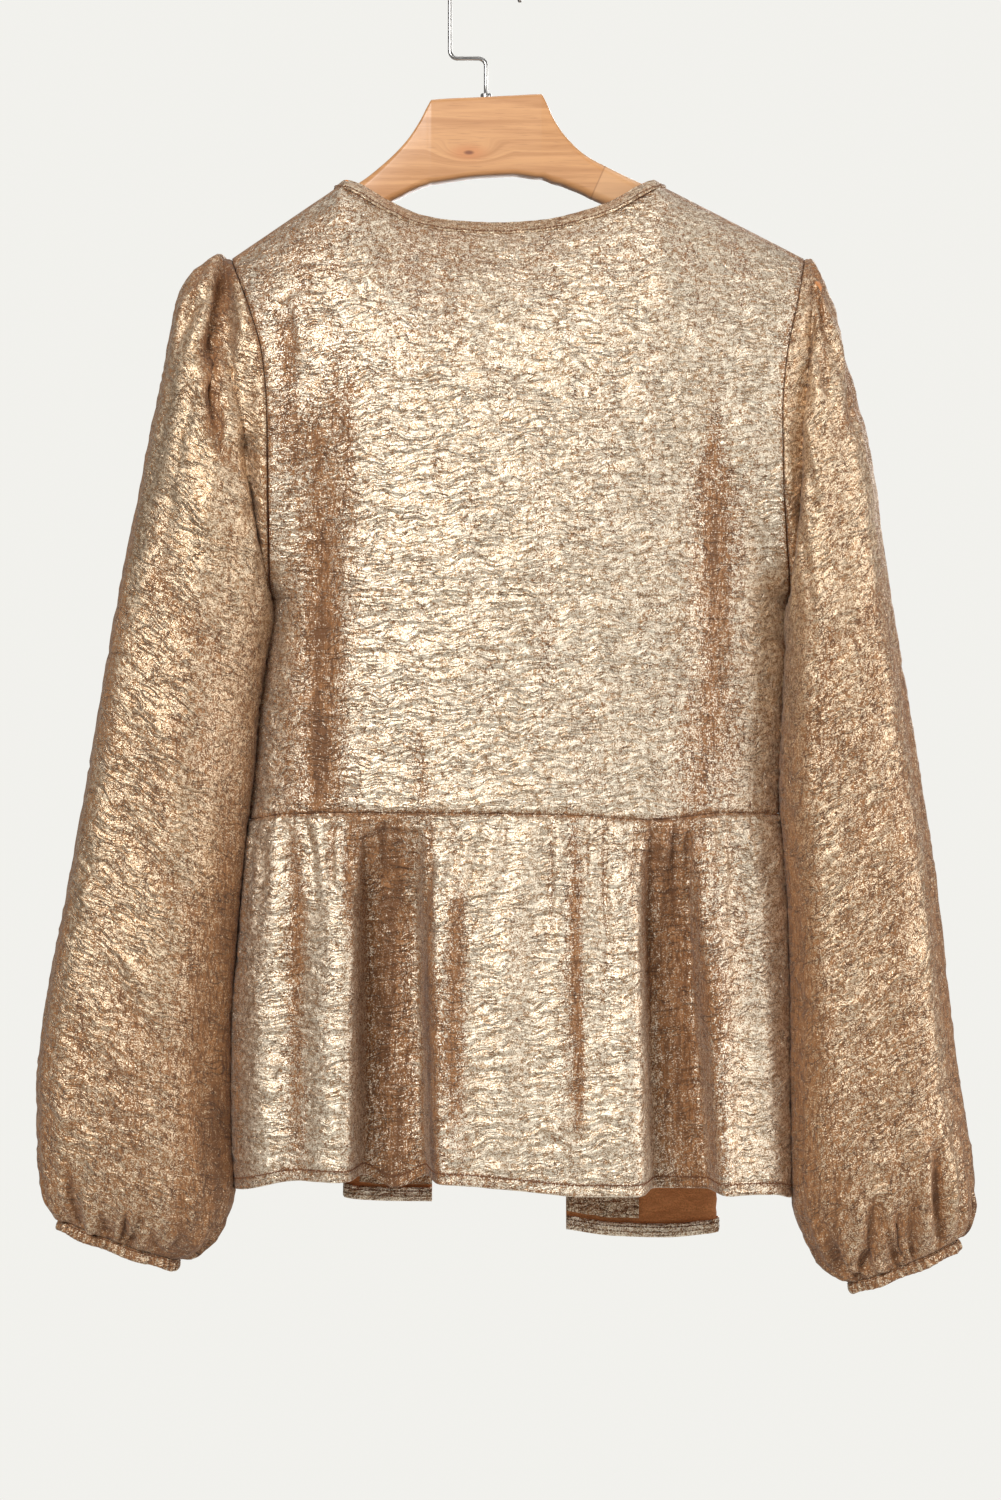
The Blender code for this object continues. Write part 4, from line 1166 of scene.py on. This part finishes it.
def neck_strip(face, drops, lifts, columns):
    """Rows of points along one side of the neckline, from its left end to its right end. A row is below
    the edge by its drop, but at the neck points the drop runs down the shoulder seam."""
    x = LEFT_NECK_X + (RIGHT_NECK_X - LEFT_NECK_X) * (1 - np.cos(math.pi * np.linspace(0, 1, columns))) / 2
    top = top_down(top_share(x), face)
    slant = np.minimum(np.hypot(1, np.gradient(top, x)), 1.45)
    on_left = x < CENTRE_X
    away = np.where(on_left, -1, 1)
    turned = 1 - ease(np.minimum(x - LEFT_NECK_X, RIGHT_NECK_X - x), 0, 9)
    tip = np.where(on_left, LEFT_NECK_X - LEFT_TIP_X, RIGHT_TIP_X - RIGHT_NECK_X)
    slope = np.arctan2(SHOULDER_TIP_DOWN - NECK_POINT_DOWN, tip)
    rows = []
    for drop, lift in zip(drops, lifts):
        share = top_share(x + turned * away * drop * np.cos(slope))
        at = top + drop * ((1 - turned) * slant + turned * np.sin(slope))
        highest = top_down(share, face) + 0.2
        points = surface_point(share, np.maximum(at, highest), face, lift)
        points[:, 2] += np.maximum(highest - at, 0)
        rows.append(points)
    return np.array(rows)


def neckband(finishes, brown_thread, columns=150):
    """The binding: a strip that starts inside the neckline, goes over its edge and down the outside, with
    small puckers along it. It is closed, from the back round to the front."""
    drops = (4.0, 2.0, 0.4, -0.7, -1.3, -0.9, 0.3, 1.8, 3.4, 5.0, 6.2, 6.9)
    lifts = (-1.0, -1.0, -1.0, -0.6, 0.2, 1.0, 1.35, 1.4, 1.3, 1.25, 1.15, 0.75)
    back = neck_strip(-1, drops, lifts, columns)
    front = neck_strip(1, drops, lifts, columns)[:, ::-1]
    for near, far in ((0, -1), (-1, 0)):
        back[:, near] = front[:, far] = (back[:, near] + front[:, far]) / 2
    points = np.concatenate([back, front[:, 1:-1]], axis=1)
    share = np.linspace(0, 1, len(drops) * 2 - 1) * (len(drops) - 1)
    points = smooth(share, np.arange(len(drops)), points)
    line = np.linalg.norm(points - np.roll(points, 1, axis=1), axis=2).cumsum(axis=1)
    pucker = 0.16 * np.sin(line / 1.7 + 2.2 * np.sin(line / 23)) + 0.12 * wrinkles(points, 20, 3.0, 5, 13)
    points = points + normals(points, 1, True) * (pucker * ease(share, 4, 6)[:, None])[..., None]
    made = cloth("neckband", points, finishes, 1, 0.25, closed=True, thick=TRIM)
    placed(made, "trim_cloth", "neckband")
    seam_line("neckband_stitches", points, -4, 1, brown_thread, pitch=2.5, lift=TRIM / 2, closed=True)


def facing(side, front, finishes):
    """The strip of cloth inside a front peplum's open edge: the panel's own points, moved in, with its
    lower edge free of the hem and its inner edge turned under."""
    rows, columns = front.shape[:2]
    name = "left" if side < 0 else "right"
    width = np.linalg.norm(np.diff(front[-1], axis=0), axis=1)[::-1].cumsum()
    first = columns - 1 - int(np.searchsorted(width, FACING_WIDTH))
    keep = rows - 1 - int(FACING_RISE / BACK_DROP * rows / CROWDING)
    inward = -normals(front, side)[:keep, first:]
    place = np.arange(columns - first)[None] / (columns - first)
    row = np.arange(keep)[:, None]
    lift = FACING_LIFT * ease(row / rows, 0.0, 0.05) + FACING_START_LIFT
    lift = FACING_EDGE_LIFT + (lift - FACING_EDGE_LIFT) * (1 - ease(place, 0.93, 1.0))
    strip = front[:keep, first:] + inward * lift[..., None]
    low = row / keep
    wave = 0.5 * (1 + np.sin(9 * low + 4)) * (1 - place) + 0.9 * ease(low, 0.93, 1.0) * np.sin(3 * place) ** 2
    wave = wave + 0.2 * (1 + wrinkles(strip, 10, 4.5, 12, 19)) * ease(1 - place, 0, 0.1)
    made = cloth(f"facing_{name}", strip + inward * wave[..., None], finishes, -side, 0.35, thick=TRIM)
    placed(made, "trim_cloth", f"facing_{name}")


def wood_outline(top, height, thick, edge, corners=9):
    """The section of the wood as offsets y and down: a rectangle with quarter-round corners."""
    edge = min(edge, thick / 2, height / 2)
    outline = []
    for y_sign, down_sign, start in ((1, -1, 0), (1, 1, 1), (-1, 1, 2), (-1, -1, 3)):
        for angle in np.linspace(start, start + 1, corners) * math.pi / 2:
            y = y_sign * (thick / 2 - edge) + edge * math.sin(angle)
            down = top + height / 2 + down_sign * (height / 2 - edge) - edge * math.cos(angle)
            outline.append((y, down))
    return np.array(outline)


def hanger_body(finish):
    """The wood: a smooth loft through the table's sections, with both ends closed."""
    knots = [np.linspace(-158, 190, 160), HANGER["x"], np.linspace(-42, -34, 12), [35.5, 36.2]]
    x = np.unique(np.concatenate(knots))
    tops = np.where(HANGER["top"] > 0, HANGER["top"], shoulder_down(HANGER["x"]) + HANGER_SEAT)
    columns = [tops] + [HANGER[name] for name in ("height", "thickness", "edge")]
    rings = []
    for place, *size in zip(x, *(smooth(x, HANGER["x"], values) for values in columns)):
        outline = wood_outline(*size)
        rings.append(stack(np.full(len(outline), place), outline[:, 0], outline[:, 1]))
    points = np.array(rings)
    made = mesh_of("hanger_body", points, capped(*points.shape[:2], 1), [finish])
    made.data.set_sharp_from_angle(angle=math.radians(50))
    placed(made, "hanger_wood", "hanger_body")


def arc(centre_x, centre_down, radius, start, end, count):
    """Points on a round bend; angles in degrees, anticlockwise from +X as seen from the back."""
    angles = np.radians(np.linspace(start, end, count))
    return [(centre_x + radius * math.cos(a), centre_down - radius * math.sin(a)) for a in angles]


def hanger_hook(finish, sides=24):
    """The hook's wire along its route: rings of one radius, which close to a dome at the free end."""
    crook_left = -CROOK_RADIUS
    route = [(STEM_X, WOOD_TOP_DOWN + 11), (STEM_X, 90), (STEM_X, 81)]
    route += arc(STEM_X - WIRE_BEND, CRANK_DOWN + WIRE_BEND, WIRE_BEND, 0, 90, 14)
    route += arc(crook_left + WIRE_BEND, CRANK_DOWN - WIRE_BEND, WIRE_BEND, 270, 180, 14)
    route += [(crook_left, 55), (crook_left, 40)]
    route += arc(0, CROOK_RADIUS - WIRE_RADIUS, CROOK_RADIUS, 180, -35, 90)
    route = np.array([(x, -down) for x, down in route])
    ahead = unit(np.gradient(route, axis=0))
    dome = np.linspace(0.2, 0.97, 6) * math.pi / 2
    radius = np.concatenate([np.full(len(route), WIRE_RADIUS), WIRE_RADIUS * np.cos(dome)])
    tip = route[-1] + ahead[-1] * (WIRE_RADIUS * np.sin(dome) - 0.7)[:, None]
    route = np.concatenate([route, tip])
    ahead = np.concatenate([ahead, np.repeat(ahead[-1:], len(dome), axis=0)])
    flat = np.stack([-ahead[:, 1], np.zeros(len(ahead)), ahead[:, 0]], axis=1)
    ring = spokes(flat, np.array([[0, 1, 0]]), sides)
    points = np.insert(route, 1, 0, axis=1)[:, None] + ring * radius[:, None, None]
    made = mesh_of("hanger_hook", points, capped(len(points), sides, -1), [finish])
    placed(made, "hook_steel", "hanger_hook")


def hanger_ferrule(finish, sides=48):
    """The small metal collar: a turned ring with rounded upper edges, standing on the wood."""
    profile = ((3.6, 0), (3.6, 1.6), (3.5, 2.1), (3.2, 2.45), (2.8, 2.6), (1.9, 2.6), (1.9, 0))
    angle = circle(sides)
    points = np.array([
        stack(
            STEM_X + radius * np.cos(angle),
            radius * np.sin(angle),
            np.full(sides, WOOD_TOP_DOWN - 0.35 - height),
        )
        for radius, height in profile
    ])
    faces = grid_faces(len(profile), sides, True, -1).tolist()
    bottom = np.arange(sides)
    after = (bottom + 1) % sides
    last = (len(profile) - 1) * sides
    faces += np.stack([bottom, after, last + after, last + bottom], axis=1).tolist()
    made = mesh_of("hanger_ferrule", points, faces, [finish])
    made.data.set_sharp_from_angle(angle=math.radians(40))
    placed(made, "hook_steel", "hanger_ferrule")


class Value:
    """A number, place or colour that a shader works out. Arithmetic with it makes Math nodes."""

    def __init__(self, tree, socket):
        self.tree = tree
        self.socket = socket

    def math(self, operation, *values):
        """The result of an operation on these values, or else on this one alone."""
        return node(self.tree, "ShaderNodeMath", enumerate(values or [self]), operation=operation)

    def __add__(self, other):
        return self.math("ADD", self, other)

    def __radd__(self, other):
        return self.math("ADD", other, self)

    def __sub__(self, other):
        return self.math("SUBTRACT", self, other)

    def __mul__(self, other):
        return self.math("MULTIPLY", self, other)


def node(tree, kind, inputs=(), output=0, **settings):
    """Makes a shader node with its settings, and gives one of its outputs."""
    made = tree.nodes.new(kind)
    for key, value in settings.items():
        setattr(made, key, value)
    feed(tree, made, dict(inputs))
    return Value(tree, made.outputs[output])


def feed(tree, made, inputs):
    """Sets a node's inputs: links them to a Value, or gives them a plain number or colour."""
    for key, value in inputs.items():
        if isinstance(value, Value):
            tree.links.new(value.socket, made.inputs[key])
        else:
            made.inputs[key].default_value = value


def new_finish(name):
    """A new material, and the places in the coordinates of its object."""
    finish = bpy.data.materials.new(name)
    finish.use_nodes = True
    return finish, node(finish.node_tree, "ShaderNodeTexCoord", output="Object")


def finished(finish, inputs):
    """The material with these inputs of its shader."""
    feed(finish.node_tree, finish.node_tree.nodes["Principled BSDF"], inputs)
    return finish


def blend(share, low, high, kind="RGBA"):
    """A mix of two colours, or of two numbers if the kind is FLOAT."""
    first, output = {"FLOAT": (2, 0), "RGBA": (6, 2)}[kind]
    low, high = (end + (1.0,) if isinstance(end, tuple) else end for end in (low, high))
    inputs = {0: share, first: low, first + 1: high}
    return node(share.tree, "ShaderNodeMix", inputs, output, data_type=kind)


def span(value, low, high, to_low=0.0, to_high=1.0):
    """A smooth step from to_low to to_high while the value goes from low to high."""
    inputs = {0: value, 1: low, 2: high, 3: to_low, 4: to_high}
    return node(value.tree, "ShaderNodeMapRange", inputs, interpolation_type="SMOOTHSTEP")


def stretched(place, scale, turn=0.0):
    """Places turned about the Y axis by turn degrees and scaled, each scale in features for each metre."""
    turned = node(place.tree, "ShaderNodeMapping", {"Vector": place, "Rotation": (0, math.radians(turn), 0)})
    return node(place.tree, "ShaderNodeMapping", {"Vector": turned, "Scale": scale})


def cloud(place, scale, detail=2.0, roughness=0.5, distortion=0.0, output=0):
    """Noise at these places, with about scale features for each metre."""
    inputs = {"Vector": place, "Scale": scale, "Detail": detail, "Roughness": roughness}
    return node(place.tree, "ShaderNodeTexNoise", {**inputs, "Distortion": distortion}, output)


def raised(height, distance, strength, before=None):
    """The normal of a surface raised by a height, on top of another raised surface if there is one."""
    inputs = {"Height": height, "Distance": distance, "Strength": strength}
    if before:
        inputs["Normal"] = before
    return node(height.tree, "ShaderNodeBump", inputs)


FOIL_TONES = ((0.45, 0.295, 0.168), (0.97, 0.87, 0.71))
SLEEVE_TONES = ((0.37, 0.215, 0.105), (0.87, 0.705, 0.51))
TRIM_TONES = ((0.38, 0.25, 0.145), (0.82, 0.68, 0.50))
CLOTH_BROWN = (0.34, 0.150, 0.050)
# The dark crepe tone: a darker tone that comes and goes at random in the cloth, and painted shade where the
# value of wear and painted shade passes 1.
CLOTH_DARK_AND_SHADED = (0.16, 0.066, 0.022)


def foil(name, cover, tilt, tones):
    """Cracked foil over matte brown crepe. The foil is where the sum of a fine speckle and of vertical
    streaks is high enough. Where the attribute of wear and painted shade is high there is less of it, its
    speckle is stronger and its tone is duller; above 1 the bare cloth turns darker, which is painted shade in
    deep folds and creases. Creases are where a drawn-out, warped noise crosses its middle value, in patches;
    along them the foil is a little thinner, a painted shade. They, the same noise and the speckle raise the
    surface."""
    finish, place = new_finish(name)
    wear_and_shade_attribute = node(place.tree, "ShaderNodeAttribute", output="Fac", attribute_name="wear_and_shade")
    speckle = cloud(place, 1250, 2, 0.6)
    coarse = cloud(place, 330, 2, 0.55)
    drawn = cloud(stretched(place, (620, 620, 130)), 1.0, 3, 0.65)
    broad = cloud(stretched(place, (70, 70, 8)), 1.0, 3, 0.55)
    warp = {0: cloud(place, 42, 2, output="Color"), 1: (0.018, 0.018, 0.018), 2: place}
    bent = node(place.tree, "ShaderNodeVectorMath", warp, operation="MULTIPLY_ADD")
    lines = cloud(stretched(bent, (52, 52, 215), tilt), 1.0, 2, 0.5)
    patch = span(cloud(place, 75, 1), 0.40, 0.58)
    valley = span((lines - 0.5).math("ABSOLUTE"), 0.0, 0.035, 1.0, 0.0) * patch
    total = 0.55 + (speckle - 0.5) * (1.0 + wear_and_shade_attribute * 0.95) + coarse * 0.4
    # The crease lines take a little foil away: painted shade along the creases.
    total = total + (drawn - 0.5) * (0.22 + wear_and_shade_attribute * 0.55) + (broad - 0.5) * 0.4 - wear_and_shade_attribute * 0.33 - valley * 0.07
    mask = span(total, 0.62 - cover, 0.70 - cover)
    bright = speckle * 0.65 + coarse * 0.35
    gold = blend(span(bright - wear_and_shade_attribute * 0.07, 0.42, 0.58), *tones)
    # Above 1 that value turns the bare cloth to the dark tone: painted shade in deep folds and creases.
    light = span(drawn, 0.35, 0.62) * span(wear_and_shade_attribute, 1.0, 1.4, 1.0, 0.1)
    return finished(finish, {
        "Base Color": blend(mask, blend(light, CLOTH_DARK_AND_SHADED, CLOTH_BROWN), gold),
        "Metallic": mask * 0.9,
        "Roughness": blend(mask, 0.75, span(coarse, 0.3, 0.7, 0.37, 0.52), "FLOAT"),
        "Normal": raised(bright, 0.0009, 0.6, raised(lines * 1.6 - valley * 0.45, 0.0022, 1.0)),
        "Sheen Weight": 0.1,
        "Sheen Roughness": 0.5,
    })


def wrong_side():
    """The unfoiled side of the crepe: matte orange-brown with the same fine lines."""
    finish, place = new_finish("wrong side of the crepe")
    lines = cloud(stretched(place, (85, 85, 430), 4), 1.0, 3, 0.6)
    weave = cloud(place, 1100, 2)
    tone = blend(span(lines, 0.35, 0.65), (0.70, 0.285, 0.095), (0.56, 0.22, 0.072))
    return finished(finish, {
        "Base Color": blend(span(weave, 0.4, 0.7), tone, (0.46, 0.178, 0.057)),
        "Roughness": span(weave, 0.3, 0.7, 0.78, 0.9),
        "Normal": raised(weave, 0.0004, 0.5, raised(lines, 0.0012, 0.5)),
        "Sheen Weight": 0.15,
    })


def thread(name, light, dark):
    """Matte thread, whose twist is a fine noise of two tones."""
    finish, place = new_finish(name)
    twist = cloud(place, 2400, 2)
    return finished(finish, {
        "Base Color": blend(span(twist, 0.35, 0.65), light, dark),
        "Roughness": span(twist, 0.3, 0.7, 0.55, 0.75),
        "Normal": raised(twist, 0.0002, 0.4),
    })


# The knot's X and Z and the two ends of the glue joint, in metres
KNOT = (-0.01235, -0.1372)
JOINT = (0.0760, -0.1456, 0.0696, -0.1599)


def wood():
    """Pale lacquered wood. The grain is noise drawn out along X; round the dark knot it is bent by the
    distance from the knot, and reddish. Right of the glue joint, which is a slanted dark line, the wood is
    lighter."""
    finish, place = new_finish("pale wood")
    x, y, z = (node(place.tree, "ShaderNodeSeparateXYZ", {0: place}, axis) for axis in range(3))
    across, up = (x - KNOT[0]) * 0.42, z - KNOT[1]
    far = (across * across + up * up).math("SQRT")
    near = span(far, 0.0015, 0.013, 1.0, 0.0)
    bent = {"X": x * 9.0, "Y": y * 60.0, "Z": z * 210.0 + near * 2.2}
    grain = cloud(node(place.tree, "ShaderNodeCombineXYZ", bent), 1.0, 4, 0.55, 0.6)
    pores = cloud(stretched(place, (70, 900, 1500)), 1.0, 2, 0.5)
    x0, z0, x1, z1 = JOINT
    length = math.hypot(x1 - x0, z1 - z0)
    past = (x - x0) * ((z0 - z1) / length) + (z - z0) * ((x1 - x0) / length)
    line = span(past.math("ABSOLUTE"), 0.0002, 0.0007, 1.0, 0.0)
    tone = blend(span(grain, 0.3, 0.72), (0.66, 0.345, 0.15), (0.50, 0.235, 0.09))
    tone = blend(span(pores, 0.58, 0.7) * 0.35, tone, (0.36, 0.16, 0.06))
    tone = blend(span(past, 0.0, 0.0004) * 0.4, tone, (0.74, 0.45, 0.24))
    tone = blend(line * 0.55, tone, (0.33, 0.15, 0.06))
    tone = blend(span(far, 0.001, 0.0075, 0.55, 0.0), tone, (0.56, 0.185, 0.055))
    return finished(finish, {
        "Base Color": blend(span(far, 0.0006, 0.0019, 0.85, 0.0), tone, (0.17, 0.045, 0.015)),
        "Roughness": span(grain, 0.3, 0.7, 0.34, 0.44),
        "Normal": raised(pores, 0.0002, 0.15),
        "Coat Weight": 0.25,
        "Coat Roughness": 0.22,
    })


def steel():
    """Polished wire: noise round the wire varies how sharp its reflections are."""
    finish, place = new_finish("polished steel")
    haze = cloud(place, 260, 3)
    return finished(finish, {
        "Base Color": blend(span(haze, 0.3, 0.7), (0.56, 0.55, 0.54), (0.45, 0.44, 0.43)),
        "Metallic": 1.0,
        "Roughness": span(haze, 0.3, 0.7, 0.14, 0.26),
        "Normal": raised(haze, 0.0001, 0.1),
    })


FLOOR_RADIUS = 1300.0
FLOOR_DOWN = 1420.0
WORLD_LIGHT = 0.24
WORLD_SEEN = 1.0
# Name, place, aim, size, power and tone of each lamp, in metres and watts
LAMPS = (
    ("key", (-1.25, -2.8, 0.75), (0.0, 0.0, -0.5), (1.3, 1.3), 88, (1.0, 0.985, 0.965)),
    ("front", (0.9, -2.6, 0.1), (0.0, 0.0, -0.5), (1.6, 1.6), 7, (1.0, 1.0, 1.0)),
    ("right", (2.1, -0.6, -0.4), (0.0, 0.0, -0.5), (1.2, 1.8), 31, (1.0, 0.99, 0.98)),
    ("top", (0.1, 0.2, 1.0), (0.0, 0.0, -0.4), (1.4, 1.0), 5, (1.0, 1.0, 1.0)),
    ("behind", (0.6, 1.9, 0.1), (0.0, 0.0, -0.5), (1.4, 1.4), 30, (1.0, 0.99, 0.98)),
)
CAMERA_PLACE = (0.0081, -1.85, -0.524)
SEEN_HEIGHT = 0.975  # height of the picture at the garment, in metres


def stage():
    """A pale floor well below the garment, a pale world, and soft lamps: the key is at the upper left in
    front of the garment's back, where the camera stands."""
    finish, place = new_finish("floor")
    finished(finish, {
        "Base Color": blend(cloud(place, 3.0, 3), (0.66, 0.655, 0.64), (0.63, 0.625, 0.61)),
        "Roughness": 0.9,
    })
    angle = circle(96)
    disc = stack(FLOOR_RADIUS * np.cos(angle), FLOOR_RADIUS * np.sin(angle), np.full(96, FLOOR_DOWN))
    mesh_of("floor", disc, [range(96)], [finish])

    world = bpy.data.worlds.new("studio")
    bpy.context.scene.world = world
    world.use_nodes = True
    seen = node(world.node_tree, "ShaderNodeLightPath", output="Is Camera Ray")
    feed(world.node_tree, world.node_tree.nodes["Background"], {
        "Color": blend(seen, (0.90, 0.88, 0.85), (0.885, 0.88, 0.845)),
        "Strength": blend(seen, WORLD_LIGHT, WORLD_SEEN, "FLOAT"),
    })
    for name, place, aim, size, power, tone in LAMPS:
        lamp = bpy.data.lights.new(name, "AREA")
        lamp.shape = "RECTANGLE"
        lamp.size, lamp.size_y = size
        lamp.energy = power
        lamp.color = tone
        made = linked(bpy.data.objects.new(name, lamp))
        made.location = place
        made.rotation_euler = (Vector(aim) - Vector(place)).to_track_quat("-Z", "Y").to_euler()


def camera():
    """The photo's view, straight at the garment's back."""
    bpy.context.scene.view_settings.view_transform = "Standard"
    lens = bpy.data.cameras.new("camera")
    lens.sensor_fit = "VERTICAL"
    lens.sensor_height = 36.0
    lens.lens = lens.sensor_height * -CAMERA_PLACE[1] / SEEN_HEIGHT
    made = linked(bpy.data.objects.new("camera", lens))
    made.location = CAMERA_PLACE
    made.rotation_euler = (math.pi / 2, 0, 0)
    bpy.context.scene.camera = made


def main():
    plain = wrong_side()
    bodice_foil = foil("bodice foil", 0.06, 4, FOIL_TONES)
    skirt = [foil("peplum foil", 0.06, 6, FOIL_TONES), plain]
    trim = [foil("trim foil", 0.04, 15, TRIM_TONES), plain]
    left_foil = foil("left sleeve foil", 0.06, -30, SLEEVE_TONES)
    right_foil = foil("right sleeve foil", 0.06, 38, SLEEVE_TONES)
    brown_thread = thread("brown thread", (0.21, 0.080, 0.028), (0.10, 0.036, 0.013))
    pale_thread = thread("pale thread", (0.42, 0.27, 0.15), (0.22, 0.12, 0.06))

    half_gap = FOLD_GAP / (RIGHT_TIP_X - LEFT_TIP_X)
    back_stops = (0, LEFT_NECK_SHARE, RIGHT_NECK_SHARE, 1)
    bodice("bodice_back", back_stops, (5, 14, 6), -1, 150, 236, BACK_CREASES, BODICE_STREAKS,
           [bodice_foil, plain])
    for name, stops, counts, width, area in (
        ("left", (0, LEFT_NECK_SHARE, CENTRE_SHARE - half_gap), (5, 7), 0.18, 0.064),
        ("right", (CENTRE_SHARE + half_gap, RIGHT_NECK_SHARE, 1), (7, 6), 0.2, 0.073),
    ):
        bodice(f"bodice_front_{name}", stops, counts, 1, 76, 176, FRONT_CREASES, FRONT_STREAKS,
               [bodice_foil, plain])

    back = peplum("peplum_back", peplum_back_grid(212, 136), 1, (BACK_TUCKS, BACK_PEPLUM_CREASES), -1,
                  PEPLUM_STREAKS_AND_FOLD_SHADE, skirt)
    hem_threads("peplum_back", back, 1, brown_thread)
    for name, side, folds, width, area in (
        ("left", -1, FRONT_LEFT_FOLDS, 0.22, 0.052),
        ("right", 1, FRONT_RIGHT_FOLDS, 0.25, 0.061),
    ):
        whole = f"peplum_front_{name}"
        front = peplum(whole, peplum_front_grid(folds, 100, 126), side, (FRONT_PEPLUM_CREASES,), 1,
                       FRONT_STREAKS, skirt)
        hem_threads(whole, front, side, brown_thread, ((6.4, brown_thread), (3.0, pale_thread)))
        facing(side, front, trim)

    sleeve("sleeve_left", SLEEVE_LEFT, -1, -28, SLEEVE_LEFT_CREASES, [left_foil, plain])
    sleeve("sleeve_right", SLEEVE_RIGHT, 1, 38, SLEEVE_RIGHT_CREASES, [right_foil, plain])
    cuff("cuff_left", SLEEVE_LEFT, -1, trim, brown_thread)
    cuff("cuff_right", SLEEVE_RIGHT, 1, trim, brown_thread)
    neckband(trim, brown_thread)

    hanger_body(wood())
    metal = steel()
    hanger_hook(metal)
    hanger_ferrule(metal)
    stage()
    camera()


main()
